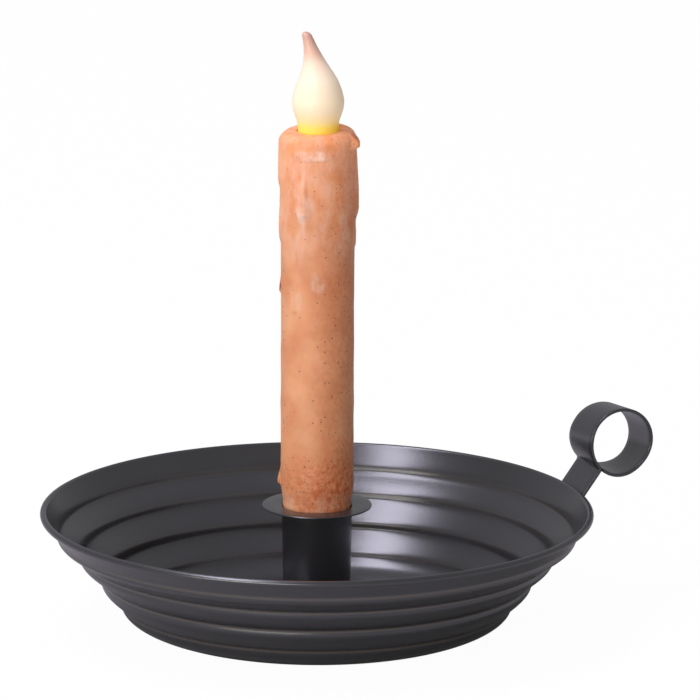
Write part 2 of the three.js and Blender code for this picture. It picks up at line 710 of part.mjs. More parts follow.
function makeLed() {
  const domeSteps = 4;
  const domeCentre = ring(0, LED_BOTTOM + LED_HEIGHT - LED_RADIUS);
  const section = [
    ring(0, LED_BOTTOM),
    ring(LED_FLANGE_RADIUS, LED_BOTTOM),
    ring(LED_FLANGE_RADIUS, LED_BOTTOM + LED_FLANGE),
    ring(LED_RADIUS, LED_BOTTOM + LED_FLANGE),
    ...arc(domeCentre, LED_RADIUS, 0, 90, domeSteps).slice(0, -1),
    ring(0, LED_BOTTOM + LED_HEIGHT),
  ];
  return turned(section, SMALL_FACETS);
}

function makeLead(side) {
  const length = COLLAR_TOP - CARRIER_BOTTOM;
  return block(LEAD_SIDE, LEAD_SIDE, length, (side * LEAD_SPACING) / 2, 0, CARRIER_BOTTOM);
}

function makeBoard() {
  const radius = TUBE_BORE - SEAT_GAP;
  const section = [
    ring(0, BOARD_BOTTOM),
    ring(radius, BOARD_BOTTOM),
    ring(radius, BOARD_TOP),
    ring(0, BOARD_TOP),
  ];
  return turned(section, TUBE_FACETS);
}

function makeChip() {
  const offset = LEAD_SIDE + SEAT_GAP + CHIP.width / 2;
  return block(CHIP.length, CHIP.width, CHIP.height, 0, offset, BOARD_TOP + SEAT_GAP);
}

// A stamped cup, open upwards, that the upper cell's nub presses on
function makeTopContact() {
  const top = TOP_CONTACT_BOTTOM + TOP_CONTACT_HEIGHT;
  const lip = TOP_CONTACT_RADIUS + TOP_CONTACT_LIP;
  const inner = TOP_CONTACT_RADIUS - CONTACT_SHEET;
  const section = [
    ring(0, TOP_CONTACT_BOTTOM),
    ring(TOP_CONTACT_RADIUS, TOP_CONTACT_BOTTOM),
    ring(TOP_CONTACT_RADIUS, top - CONTACT_SHEET),
    ring(lip, top - CONTACT_SHEET),
    ring(lip, top),
    ring(inner, top),
    ring(inner, TOP_CONTACT_BOTTOM + CONTACT_SHEET),
    ring(0, TOP_CONTACT_BOTTOM + CONTACT_SHEET),
  ];
  return turned(section, SMALL_FACETS);
}

function makeCell(bottom) {
  const shoulder = 0.8;
  const can = CELL_LENGTH - CELL_NUB_HEIGHT;
  const section = [
    ring(0, bottom),
    ring(CELL_RADIUS - shoulder, bottom),
    ring(CELL_RADIUS, bottom + shoulder),
    ring(CELL_RADIUS, bottom + can - shoulder),
    ring(CELL_RADIUS - shoulder, bottom + can),
    ring(CELL_NUB_RADIUS, bottom + can),
    ring(CELL_NUB_RADIUS, bottom + CELL_LENGTH),
    ring(0, bottom + CELL_LENGTH),
  ];
  return turned(section, TUBE_FACETS);
}

// The return strip runs beside the cells, from a leaf over the cap's ring up to the board
function makeContactStrip() {
  const height = BOARD_BOTTOM - SEAT_GAP - LEAF_BOTTOM;
  const middle = STRIP_INSIDE + CONTACT_SHEET / 2;
  const upright = block(CONTACT_SHEET, CONTACT_STRIP_WIDTH, height, middle, 0, LEAF_BOTTOM);
  const leafEnd = CONTACT_RING_BORE + LEAF_INSET;
  const leafLength = STRIP_INSIDE + CONTACT_SHEET - leafEnd;
  const leafMiddle = leafEnd + leafLength / 2;
  const leaf = block(leafLength, CONTACT_STRIP_WIDTH, CONTACT_SHEET, leafMiddle, 0, LEAF_BOTTOM);
  return joined([upright, leaf]);
}

// Cap: a rim that closes the candle, a hollow plug with lugs, and a pocket for the knob
function makeCap() {
  const ledge = INSULATOR_BOTTOM - SEAT_GAP;
  const body = turned(
    [
      ring(0, CAP_BOTTOM),
      ring(TUBE_RADIUS - CAP_EDGE, CAP_BOTTOM),
      ring(TUBE_RADIUS, CAP_BOTTOM + CAP_EDGE),
      ring(TUBE_RADIUS, CAP_TOP),
      ring(PLUG_RADIUS, CAP_TOP),
      ring(PLUG_RADIUS, PLUG_TOP),
      ring(PLUG_BORE, PLUG_TOP),
      ring(PLUG_BORE, ledge),
      ring(LEDGE_BORE, ledge),
      ring(LEDGE_BORE, CAP_TOP),
      ring(0, CAP_TOP),
    ],
    TUBE_FACETS,
  );
  const lugs = [];
  const half = halfAngle(LUG.width, TUBE_BORE);
  const lugInner = PLUG_RADIUS - PLUG_WALL / 2;
  const lugOuter = PLUG_RADIUS + LUG_REACH;
  for (let i = 0; i < LUG_COUNT; i += 1) {
    const middle = (360 / LUG_COUNT) * i;
    lugs.push(sector(lugInner, lugOuter, middle - half, middle + half, CAP_TOP + LUG.rise, LUG.height));
  }
  const over = 1;
  const { length, width, depth } = THUMB_POCKET;
  const pocket = block(length, width, depth + over, 0, 0, CAP_BOTTOM - over);
  const slotLength = KNOB.length + KNOB_TRAVEL + 2 * SEAT_GAP;
  const slot = block(slotLength, KNOB.width + 2 * SEAT_GAP, CAP_RIM + over, 0, 0, CAP_BOTTOM + depth / 2);
  return cut(joined([body, ...lugs]), [pocket, slot]);
}

function makeSwitchBody() {
  const body = block(SWITCH.length, SWITCH.width, SWITCH.height, 0, 0, SWITCH_BOTTOM);
  const over = 1;
  const depth = SWITCH.height / 2;
  const channelLength = KNOB.length + KNOB_TRAVEL + 2 * SEAT_GAP;
  const channelWidth = KNOB.width + 2 * SEAT_GAP;
  const channel = block(channelLength, channelWidth, depth + over, 0, 0, SWITCH_BOTTOM - over);
  return cut(body, [channel]);
}

// The knob starts at the lit end of its slot and reaches up into the switch body
function makeKnob() {
  const bottom = CAP_BOTTOM + KNOB_RECESS;
  const top = SWITCH_BOTTOM + SWITCH.height / 2 - SEAT_GAP;
  return block(KNOB.length, KNOB.width, top - bottom, -KNOB_TRAVEL / 2, 0, bottom);
}

// Where each wire comes up: under the contact ring and under the spring's first coil
function wireEnds() {
  return [(CONTACT_RING_RADIUS + CONTACT_RING_BORE) / 2, -SPRING_BASE_RADIUS];
}

function makeInsulator() {
  const radius = PLUG_BORE - SEAT_GAP;
  const bottom = INSULATOR_BOTTOM;
  const disc = [ring(0, bottom), ring(radius, bottom), ring(radius, PLUG_TOP), ring(0, PLUG_TOP)];
  const over = 1;
  const holes = wireEnds().map((x) => {
    const hole = new THREE.CylinderGeometry(WIRE_HOLE, WIRE_HOLE, INSULATOR + 2 * over, SMALL_FACETS);
    hole.rotateX(Math.PI / 2);
    hole.translate(x, 0, bottom + INSULATOR / 2);
    return hole;
  });
  return cut(turned(disc, TUBE_FACETS), holes);
}

function makeContactRing() {
  const bottom = CONTACT_RING_BOTTOM;
  const top = bottom + CONTACT_SHEET;
  const section = [
    ring(CONTACT_RING_BORE, bottom),
    ring(CONTACT_RING_RADIUS, bottom),
    ring(CONTACT_RING_RADIUS, top),
    ring(CONTACT_RING_BORE, top),
  ];
  return turnedRing(section, TUBE_FACETS);
}

// A wire from the switch up through the insulator
function makeSwitchWire(endX) {
  const startX = Math.sign(endX) * WIRE_FOOT;
  const straight = 2;
  const start = SWITCH_TOP + SEAT_GAP;
  const path = new THREE.CatmullRomCurve3([
    new THREE.Vector3(startX, 0, start),
    new THREE.Vector3(startX, 0, start + straight),
    new THREE.Vector3(endX, 0, INSULATOR_BOTTOM - straight),
    new THREE.Vector3(endX, 0, INSULATOR_BOTTOM),
    new THREE.Vector3(endX, 0, PLUG_TOP),
  ]);
  const sides = 8;
  const steps = 14;
  const section = new THREE.Shape(arc(point(0, 0), WIRE_RADIUS, 0, 360 - 360 / sides, sides - 1));
  return closed(new THREE.ExtrudeGeometry(section, { steps, bevelEnabled: false, extrudePath: path }));
}

// A conical coil between the insulator and the lower cell
class ConeCoil extends THREE.Curve {
  getPoint(share, target = new THREE.Vector3()) {
    const angle = 2 * Math.PI * SPRING_TURNS * share;
    const radius = THREE.MathUtils.lerp(SPRING_BASE_RADIUS, SPRING_TOP_RADIUS, share);
    const rise = (SPRING_HEIGHT - SPRING_WIRE) * share;
    const level = SPRING_BOTTOM + SPRING_WIRE / 2 + rise;
    return target.set(radius * Math.cos(angle), radius * Math.sin(angle), level);
  }
}

function makeSpring() {
  const sides = 5;
  const stepsPerTurn = 10;
  const section = new THREE.Shape(arc(point(0, 0), SPRING_WIRE / 2, 0, 360 - 360 / sides, sides - 1));
  return closed(
    new THREE.ExtrudeGeometry(section, {
      steps: SPRING_TURNS * stepsPerTurn,
      bevelEnabled: false,
      extrudePath: new ConeCoil(),
    }),
  );
}

addPiece('pan', makePan(), 'paintedSteel');
addPiece('candle_cup', makeCup(), 'paintedSteel');
addPiece('handle_strip', makeHandle(), 'paintedSteel');

addPiece('wax_coat', makeWax(), 'wax');
addPiece('candle_tube', makeTube(), 'whitePlastic');
addPiece('lamp_carrier', makeCarrier(), 'whitePlastic');
addPiece('flame_tip', makeFlame(), 'flame');
addPiece('led', makeLed(), 'lens');
addPiece('led_lead_plus', makeLead(1), 'tinned');
addPiece('led_lead_minus', makeLead(-1), 'tinned');
addPiece('driver_board', makeBoard(), 'board');
addPiece('driver_chip', makeChip(), 'chip');
addPiece('top_contact', makeTopContact(), 'nickel');
addPiece('cell_upper', makeCell(UPPER_CELL_BOTTOM), 'cellSleeve');
addPiece('cell_lower', makeCell(LOWER_CELL_BOTTOM), 'cellSleeve');
addPiece('contact_strip', makeContactStrip(), 'nickel');

addPiece('base_cap', makeCap(), 'whitePlastic');
addPiece('switch_body', makeSwitchBody(), 'chip');
addPiece('cap_insulator', makeInsulator(), 'whitePlastic');
addPiece('contact_ring', makeContactRing(), 'nickel');
addPiece('battery_spring', makeSpring(), 'nickel');
addPiece('switch_wire_ring', makeSwitchWire(wireEnds()[0]), 'redSleeve');
addPiece('switch_wire_spring', makeSwitchWire(wireEnds()[1]), 'blackSleeve');

addPiece('switch_knob', makeKnob(), 'chip');

export default assembly;
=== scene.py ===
import math

import bmesh
import bpy
import numpy as np
from mathutils import Matrix, Vector, noise


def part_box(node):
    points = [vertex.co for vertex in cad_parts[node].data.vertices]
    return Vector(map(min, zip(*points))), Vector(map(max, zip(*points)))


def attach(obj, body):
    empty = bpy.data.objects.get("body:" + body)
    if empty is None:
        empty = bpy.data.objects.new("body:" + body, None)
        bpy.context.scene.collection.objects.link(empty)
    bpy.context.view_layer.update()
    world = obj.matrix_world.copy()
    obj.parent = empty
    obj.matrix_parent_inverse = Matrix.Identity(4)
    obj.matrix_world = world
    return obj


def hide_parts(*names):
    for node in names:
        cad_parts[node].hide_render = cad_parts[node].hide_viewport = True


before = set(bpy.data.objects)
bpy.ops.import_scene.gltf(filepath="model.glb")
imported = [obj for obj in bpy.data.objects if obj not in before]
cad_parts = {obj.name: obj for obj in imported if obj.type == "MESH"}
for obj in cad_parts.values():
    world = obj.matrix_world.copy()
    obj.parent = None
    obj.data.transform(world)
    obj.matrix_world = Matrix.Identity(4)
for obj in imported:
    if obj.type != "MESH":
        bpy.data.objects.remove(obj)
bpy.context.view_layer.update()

# The holder and its candle in Blender: the pressed pan, the drawn cup, the bent strip
# handle, the dipped wax, the soft flame, the candle's tube, its cap and its knob stand in for
# the plain solids of the same nodes. Sizes are in millimetres and angles in degrees where no
# comment says otherwise. They repeat the model's own, apart from what is drawn finer here:
# the pan's ribs have soft creases and slightly steeper walls, its top band flares straight out
# to the bead, its foot is drawn round, the flame has its own neck, and the wax its own runs,
# shoulder and hole.

MM = 0.001

# Pan
SHEET = 0.6
RIM_RADIUS = 91.6
BEAD_RADIUS = 1.15
CURL_START = 152  # round the bead's centre, where the flared sheet meets it
CURL_END = -85
RIBS = [(6.2, 3.9), (6.7, 7.5), (8.2, 7.4), (8.7, 6.5)]  # drop and inset of each crease
FOOT_DROP = 8.2
# Which way the sheet runs, and the share of a rib's length that it holds it
RIM_WALL = (242, 0.34)
RISER = (-76, 0.25)
TREAD = (218, 0.8)
FOOT = (-76, 0.26)
SOLE = (180, 0.3)
SOLE_RADIUS = 48.0  # where the drawn foot leaves the table
SOLE_EDGE = 0.9  # share of that radius where the close rows begin
FLOOR_RING = 0.5  # share of that radius of the one ring inside the flat floor
OUTER_BEND = 0.4  # how far each crease is drawn out, on the sheet's outer and inner skins
INNER_BEND = 0.85
BEND_REACH = 4  # bends on either side that take part in drawing one out
WEAR_GLINT_EDGE = 0.35  # half width of the polished line on each outer crease, worn and lightened also as a painted highlight
WEAR_GLINT_INSIDE = 0.4  # strength of the wider, fainter line on each inner crease, worn and partly a painted highlight
ROW_STEP = 0.3
RIB_STEPS = 18
BEAD_STEPS = (22, 30)  # along the rolled rim's inner and outer skins
PAN_FACETS = 288
AXIS_REACH = 1e-6  # a point nearer to the axis counts as on it
BEAD_LEVEL = FOOT_DROP + sum(drop for drop, inset in RIBS)
RIM_TOP = BEAD_LEVEL + BEAD_RADIUS

# Cup
CUP_TOP = 41.5
CUP_FLOOR = 2 * SHEET  # the cup's own sheet lies on the pan's
CUP_MOUTH_RADIUS = 11.1
CUP_FLOOR_RADIUS = 10.25
CUP_CORNER = 1.2  # inside radius round its floor
CUP_LIP = 0.8  # inside radius of its mouth
FLANGE_RADIUS = 18.15
FOLD_STEPS = 8
CUP_FACETS = 160

# Handle
STRIP = 1.0
STRIP_WIDTH = 18.4
STRIP_EDGE = 0.22  # radius of its broken edges
HANDLE_ANGLE = math.radians(53)
RING_RADIUS = 11.25
STEM_OFFSET = 1.2
NECK_BEND = 1.1
NECK_LENGTH = 7.7
STEM_ON_WALL = 20
RING_TWIST = math.radians(6)
GAP = 0.3  # between pieces that rest on each other
STEM_ROWS = 14
NECK_STEPS = 12
RING_STEPS = 150
EDGE_STEPS = 3
WIDTH_ROWS = 9  # rows across the width let the ring lean smoothly
STRIP_CRISP = 50  # edges sharper than this stay crisp

# Wax
WAX_TOP = 169.0
WAX_RADIUS = 12.05
WAX_BORE = 10.1
WAX_FOOT = (10.8, 3.4, 1.4)  # radius of its foot in the cup, and how deep the foot starts and ends
WAX_TAPER = (0.8, 9)  # how much thinner it meets the flange, and over which height
OVERDIP = (0.5, 49, 23)  # thickness of the last dips, and where they begin and are full, from the top
WAX_SHOULDER = 3.4
FLAME_HOLE = 7.1
HOLE_LIP = 0.5
HOLE_DEPTH = 6.4
WANDER_START = 3  # height above the cup over which the skin begins to wander
TOP_WANDER = 0.6
LIP_WANDER = 0.2
MOUTH_SLANT = (0.55, -7, 6)  # rise of the hole's higher side, its azimuth, and how deep it fades
WAX_ROWS = 400
WAX_FACETS = 300
SHOULDER_STEPS = 16
LIP_STEPS = 4

# Runs of wax: azimuth, start and end below the top, width and height
RUNS = [
    (-136, 12, 27.5, 4.6, 1.0), (161, -2, 18, 6.0, 0.75), (168, 21, 37, 5.0, 0.6), (-26, 5, 28.5, 6.0, 1.0),
    (-35, 28, 39, 4.0, 0.55), (-42, -1, 5.2, 5.0, 2.0), (161, 49.5, 55, 3.4, 0.6), (-152, 51, 60, 3.0, 0.45),
    (156, 115.5, 120.5, 3.4, 1.0), (108, 3, 32, 4.6, 0.9), (64, 3, 23, 5.4, 0.8), (28, 19, 43, 3.8, 0.7),
    (86, 43, 57, 3.2, 0.5),
]
# Shares of a run's length over which it rises, widens and ends
RUN_RISES = (-0.3, 0.75)
RUN_WIDENS = (0.35, 0.95)
RUN_ENDS = (0.9, 1.12)
RUN_NARROW = 0.62  # share of its width that it has before it widens
RUN_FLANK = 0.66  # share of its width from the middle out to where it meets the skin

# Noise that shapes the skin: size, octaves and seed
LUMPS = (11.0, 2, 3.1)
GRIT = (1.1, 3, 7.7)
NOISE_FALL = 0.9  # how fast finer octaves fade, and how much finer each is
NOISE_STEP = 2.0
LUMP_HEIGHT = 0.16
LUMP_LIFT = 0.1
CRUST_GRIT = 0.13
FINE_GRIT = 0.015
DIP_EDGE_HEIGHT = 0.28

# Patches of the skin: azimuth, depth below the top, half width and half height
PATCH_CORE = 0.45  # share of its reach that is full
DIP_EDGE = (-120, 6.2, 9.5, 2.2)
MIDDLE_BLOOM = (-113, 49.5, 3.2, 5.0)
# Pale patches: the first is a painted highlight on the rim of the long drop, the last a painted sheen down
# the lit left side, the middle one whitish bloom
# How strongly a patch shows, and the patch
BLOOM_AND_HIGHLIGHT_PATCHES = [(0.6, -136, 24, 3.4, 6.0), (0.6, -150, 56, 3.0, 6.0), (0.3, -147, 30, 4.0, 26.0)]
BROWN_DROPS = [
    (1.0, -40, 1.2, 2.4, 2.4), (1.0, 161, 53, 1.6, 2.2), (1.0, -29, 28.8, 2.2, 1.0),
    (0.5, -132, 26.8, 1.4, 0.8),
]
# Where the skin is crusted, glossy or lit, as depths below the top and azimuths
FOOT_CRUST = (104, 122)
FOOT_CRUST_AND_SHADE_SIDE = (-72, 0.4)  # the side where it is thickest, which is the shade side and is darkened there also as painted shade, and how much it varies round the foot
# crust down the right side, partly spice and partly a painted shade of the side away from the light
RIGHT_CRUST_AND_SHADE_SIDE = -64
RIGHT_CRUST_AND_SHADE_SPREAD = (0.45, 1.0)  # cosines of the angles away from that side
RIGHT_CRUST_AND_SHADE_STRENGTH = 0.45
GLOSSY_SIDE = -147
GLOSSY_SPREAD = (0.9, 1.0)
UPPER_BLOOM = (26, 52)
FOOT_BLOOM = (118, 126)
GLOW_DEPTH = 46
GLOW_FALL = 1.5  # power of its fading
# What each region adds to the grit, the ground spice, the bloom and the gloss
MIDDLE_GRIT = 0.8
# on the right and round the foot the spice also deepens the shade side as painted shade
SPICE_AND_SHADE = {"everywhere": 0.05, "dip_edge": 0.35, "foot": 0.45, "right": 0.4}
BLOOM = {"upper": 0.42, "middle": 0.75, "foot": 0.3, "dip_edge": 0.8}
GLOSS = {"runs": 2.5, "side": 0.5}

# Flame
FLAME_NECK = 6.7
FLAME_SEAT = (6.3, 6.3)  # bore and depth of its skirt in the wax
FLAME_BELLY = 8.6
FLAME_BELLY_RISE = 10.0
FLAME_RISE = 33.2
FLAME_TIP = 1.5
FLAME_SHOULDER = 3.0  # part of the radius that narrows in a straight line
FLAME_PINCH = 3.1  # how sharply the rest narrows above the belly
FLAME_WALL = 1.0
FLAME_HOLLOW = (19, 18.6)  # top of the hollow above the wax, and of the first row under it
HOLLOW_ROUND = 4  # power of the curve that closes the hollow, 2 for an ellipse
FLAME_LEAN = 4.2
FLAME_LEAN_START = 0.5  # share of the rise that stays upright
FLAME_LEAN_CURVE = 1.35
FLAME_LEAN_AZIMUTH = math.radians(157)
FLAME_ROWS = 90
TIP_STEPS = 8
HOLLOW_ROWS = 24
ROUND_FACETS = 96  # round the flame, the tube and the cap

# Tube, cap and knob
TUBE_RADIUS = 9.9
TUBE_BORE = 8.2
TUBE_BOTTOM = 4.8
TUBE_TOP = 160.0
CELL_PITCH = 50.8  # from one cell to the next
CELL_BAND = 13.0
BAYONET_TURN = 40
LUG_ANGLES = (0, 180)
LUG_WIDTH = 3.0
LUG_PLAY = 0.6
LUG_LEVEL = 8.0
LUG_HEIGHT = 2.2
LUG_ROOT = 0.55  # how deep a lug is rooted in the plug
LUG_REACH = 1.4
SLOT_CUTTER = (6.5, 11.6)  # inner and outer radius of what cuts the slots
SLOT_RUN = (7.7, 2.8)  # level and height of the slot's level part, then of its upright part
SLOT_ENTRY = (3.1, 7.4)
CAP_BOTTOM = 1.5
CAP_EDGE = 0.9
CAP_TOP = 4.5
PLUG_TOP = 18.5
PLUG_RADIUS = TUBE_BORE - 0.2
PLUG_BORE = PLUG_RADIUS - 1.1
LEDGE_BORE = PLUG_RADIUS - 1.8
LEDGE_LEVEL = 16.2
# Length, width, height, middle and bottom of the thumb's pocket and of the knob's slot
THUMB_POCKET = (8.0, 5.0, 2.5, 0, 0, 0.5)
KNOB_SLOT = (4.8, 2.4, 4.0, 0, 0, 2.25)
SECTOR_STEPS = 10
MOULD_CRISP = 35
GRIP_RIB = (0.34, 0.3)  # length and height
GRIP_SPACING = 0.7
GRIP_INSET = 0.2
KNOB_CRISP = 30
KNOB_BEVEL = 0.06

# Where the photograph was taken from, round the handle's axis and above the table
CAMERA_AZIMUTH = math.radians(-23)
CAMERA_ELEVATION = math.radians(14.9)
CAMERA_DISTANCE = 8.0  # metres
CAMERA_ROLL = math.radians(0.2)
CAMERA_CLIP = (0.1, 20)  # metres
SENSOR_WIDTH = 36.0
PIXEL = 0.331 * MM  # at the candle's axis
AXIS_LEVEL = 20  # above the table
AXIS_PIXEL = (317.4, 566.8)  # where the axis shows at that level
IMAGE_SIDE = 700

# Stage and light, in metres
FLOOR_REACH = 6.0  # from the pan to the floor's edge
FLOOR_GRAIN = 40.0  # grains along the floor's edge
FLOOR_WHITE = 0.97  # share of the floor's look that keeps no shadow
ROOM_LIGHT = 0.4
LIGHT_AIM = Vector((0, 0, 0.04))


# Nodes and materials

def linear(colour):
    """A colour written as sRGB hex, in the linear form that shaders take."""
    shares = [int(colour[i:i + 2], 16) / 255 for i in (1, 3, 5)]
    turned = [s / 12.92 if s <= 0.04045 else ((s + 0.055) / 1.055) ** 2.4 for s in shares]
    return (*turned, 1.0)


def add_node(tree, kind, inputs=(), stops=(), **settings):
    """Adds a node with its settings and links. An input is a value, an output, or a node
    whose first output it takes; stops are places and colours along a colour ramp."""
    node = tree.nodes.new(kind)
    for name, value in settings.items():
        setattr(node, name, value)
    for socket, value in dict(inputs).items():
        if isinstance(value, bpy.types.Node):
            tree.links.new(value.outputs[0], node.inputs[socket])
        elif isinstance(value, bpy.types.NodeSocket):
            tree.links.new(value, node.inputs[socket])
        else:
            node.inputs[socket].default_value = value
    if stops:
        elements = node.color_ramp.elements
        for element, (position, colour) in zip(elements, (stops[0], stops[-1])):
            element.position = position
            element.color = linear(colour)
        for position, colour in stops[1:-1]:
            elements.new(position).color = linear(colour)
    return node


def new_material(name):
    """An empty node material, and coordinates in metres."""
    material = bpy.data.materials.new(name)
    material.use_nodes = True
    tree = material.node_tree
    tree.nodes.clear()
    place = add_node(tree, "ShaderNodeTexCoord").outputs["Object"]
    return material, tree, place


def finished(material, sockets):
    """The material with its shader, whose sockets take values and other nodes' outputs."""
    tree = material.node_tree
    shader = add_node(tree, "ShaderNodeBsdfPrincipled", sockets)
    add_node(tree, "ShaderNodeOutputMaterial", {"Surface": shader})
    return material


def per_metre(size):
    """Scale of a pattern whose features are this many millimetres apart."""
    return 1 / (size * MM)


def painted_steel():
    """Satin black powder coat, baked on pressed sheet steel. The eye sees a dark body with
    soft broad highlights, a very fine orange peel and the press tool's faint rings."""
    material, tree, place = new_material("satin_black_powder_coat")
    clouds = add_node(tree, "ShaderNodeTexNoise", {"Vector": place, "Scale": per_metre(45), "Detail": 3.0})
    black = add_node(tree, "ShaderNodeValToRGB", {0: clouds}, ((0.3, "#212022"), (0.7, "#282729")))
    # the pressed edges are rubbed by handling, which leaves a thin brown line on them; the line's lightness
    # is also a painted highlight of the light the creases catch
    wear_and_glint = add_node(tree, "ShaderNodeAttribute", attribute_name="wear_and_glint").outputs["Fac"]
    brown = linear("#453E38")
    rubbed_and_glinting = add_node(tree, "ShaderNodeMix", {0: wear_and_glint, 6: black, 7: brown}, data_type="RGBA").outputs[2]
    # tool rings run round the axis, so they follow the radius and the height only
    axes = add_node(tree, "ShaderNodeSeparateXYZ", {0: place})
    level = add_node(tree, "ShaderNodeCombineXYZ", {0: axes.outputs[0], 1: axes.outputs[1]})
    radius = add_node(tree, "ShaderNodeVectorMath", {0: level}, operation="LENGTH").outputs["Value"]
    section = add_node(tree, "ShaderNodeCombineXYZ", {0: radius, 2: axes.outputs[2]})
    rings = add_node(tree, "ShaderNodeTexNoise", {"Vector": section, "Scale": per_metre(1.6), "Detail": 3.0})
    ringed = add_node(tree, "ShaderNodeBump", {"Height": rings, "Strength": 0.25, "Distance": 0.06 * MM})
    peel = add_node(tree, "ShaderNodeTexNoise", {"Vector": place, "Scale": per_metre(0.9), "Detail": 2.0})
    peeled = {"Height": peel, "Strength": 0.3, "Distance": 0.05 * MM, "Normal": ringed}
    return finished(material, {
        "Base Color": rubbed_and_glinting,
        "Roughness": add_node(tree, "ShaderNodeMapRange", {0: clouds, 3: 0.24, 4: 0.28}),
        "IOR": 1.8,
        "Normal": add_node(tree, "ShaderNodeBump", peeled),
    })


def dipped_wax():
    """Paraffin dipped by hand in several coats, tinted and rolled in ground spice while soft.
    The eye sees a waxy depth, glossy runs, whitish bloom with painted highlights on a drop and down the lit
    left side, brown specks and, near the top, the lamp's glow through the coat."""
    material, tree, place = new_material("dipped_paraffin_wax")
    crust_and_shade, stain, bloom_and_highlight, run, glow = (
        add_node(tree, "ShaderNodeAttribute", attribute_name=name).outputs["Fac"]
        for name in ("crust_and_shade", "stain", "bloom_and_highlight", "run", "glow")
    )
    clouds = add_node(tree, "ShaderNodeTexNoise", {"Vector": place, "Scale": per_metre(14), "Detail": 4.0})
    colour = add_node(tree, "ShaderNodeValToRGB", {0: clouds}, ((0.25, "#D48858"), (0.75, "#F2B282")))
    # brown spice rolled into the soft skin shows as cloudy patches where the coat is rough; down the right
    # side and on the foot this deeper orange is also a painted shade
    spice = add_node(tree, "ShaderNodeTexNoise", {"Vector": place, "Scale": per_metre(1.7), "Detail": 6.0})
    cloudy = add_node(tree, "ShaderNodeMapRange", {0: spice, 1: 0.36, 2: 0.66, 3: 0.3})
    faint = add_node(tree, "ShaderNodeMath", {0: cloudy, 1: crust_and_shade}, operation="MULTIPLY")
    spiced_and_shaded = add_node(tree, "ShaderNodeMath", {0: faint, 1: 1.7}, operation="MULTIPLY", use_clamp=True)
    # freckles 0.5 mm across, a little coarser than real ground spice so that they show
    cells = add_node(tree, "ShaderNodeTexVoronoi", {"Vector": place, "Scale": per_metre(1.2)})
    dots = add_node(tree, "ShaderNodeMapRange", {0: cells, 1: 0.16, 2: 0.26, 3: 1.0, 4: 0.0})
    chance = add_node(tree, "ShaderNodeSeparateColor", {0: cells.outputs["Color"]})
    picked = add_node(tree, "ShaderNodeMath", {0: chance, 1: crust_and_shade}, operation="LESS_THAN")
    freckled = add_node(tree, "ShaderNodeMath", {0: dots, 1: picked}, operation="MULTIPLY")
    # the bloom runs down with the wax, so its flakes are taller than wide; the same pale layer carries the
    # painted highlights of the pale patches
    drawn = add_node(tree, "ShaderNodeMapping", {"Vector": place, "Scale": (1.0, 1.0, 0.5)})
    flakes = add_node(tree, "ShaderNodeTexNoise", {"Vector": drawn, "Scale": per_metre(3.4), "Detail": 5.0})
    flaky = add_node(tree, "ShaderNodeMapRange", {0: flakes, 1: 0.38, 2: 0.66})
    pale_bloom_and_highlight = add_node(tree, "ShaderNodeMath", {0: flaky, 1: bloom_and_highlight}, operation="MULTIPLY")
    # each of these lies over the one before
    layers = ((spiced_and_shaded, "#C4622F"), (freckled, "#8A4A2C"), (stain, "#8E4E38"), (pale_bloom_and_highlight, "#F0CBB4"))
    for share, shade in layers:
        over = {0: share, 6: colour, 7: linear(shade)}
        colour = add_node(tree, "ShaderNodeMix", over, data_type="RGBA").outputs[2]
    lit = {0: glow, 6: linear("#000000"), 7: linear("#E8853F")}
    grain = add_node(tree, "ShaderNodeTexNoise", {"Vector": place, "Scale": per_metre(0.8), "Detail": 4.0})
    grained = {"Height": grain, "Strength": 0.35, "Distance": 0.12 * MM}
    return finished(material, {
        "Base Color": colour,
        "Roughness": add_node(tree, "ShaderNodeMapRange", {0: run, 3: 0.5, 4: 0.24}),
        "IOR": 1.44,
        "Subsurface Weight": 0.6,
        "Subsurface Radius": (1.0, 0.36, 0.18),
        "Subsurface Scale": 3.5 * MM,
        "Emission Color": add_node(tree, "ShaderNodeMix", lit, data_type="RGBA").outputs[2],
        "Emission Strength": 0.2,
        "Normal": add_node(tree, "ShaderNodeBump", grained),
    })


def flame_silicone():
    """Soft silicone cast over the lamp. The eye sees a cream white body lit from inside,
    a strong yellow band where the lamp sits, and a dull peach tip that gets little light."""
    material, tree, place = new_material("cast_flame_silicone")
    height = add_node(tree, "ShaderNodeSeparateXYZ", {0: place}).outputs[2]
    flame_top = WAX_TOP + FLAME_RISE
    rise = add_node(tree, "ShaderNodeMapRange", {0: height, 1: WAX_TOP * MM, 2: flame_top * MM})
    lit = add_node(tree, "ShaderNodeValToRGB", {0: rise}, (
        (0.0, "#F3DC2C"), (0.06, "#F5E04A"), (0.12, "#F6E49C"), (0.22, "#F6E6C0"),
        (0.55, "#F8E8CC"), (0.7, "#F6DDC4"), (0.8, "#E9BDA4"), (1.0, "#CF9D8E"),
    ))
    clouds = add_node(tree, "ShaderNodeTexNoise", {"Vector": place, "Scale": per_metre(6), "Detail": 2.0})
    cream = add_node(tree, "ShaderNodeValToRGB", {0: clouds}, ((0.3, "#E3BFA0"), (0.7, "#ECCFB2")))
    tinted = add_node(tree, "ShaderNodeMix", {0: 0.75, 6: cream, 7: lit}, data_type="RGBA").outputs[2]
    fading = {0: rise, 1: 0.62, 2: 0.9, 3: 0.17, 4: 0.05}
    return finished(material, {
        "Base Color": tinted,
        "Roughness": add_node(tree, "ShaderNodeMapRange", {0: clouds, 3: 0.28, 4: 0.36}),
        "IOR": 1.41,
        "Subsurface Weight": 0.4,
        "Subsurface Radius": (1.0, 0.6, 0.4),
        "Subsurface Scale": 2.0 * MM,
        "Emission Color": lit,
        "Emission Strength": add_node(tree, "ShaderNodeMapRange", fading),
    })


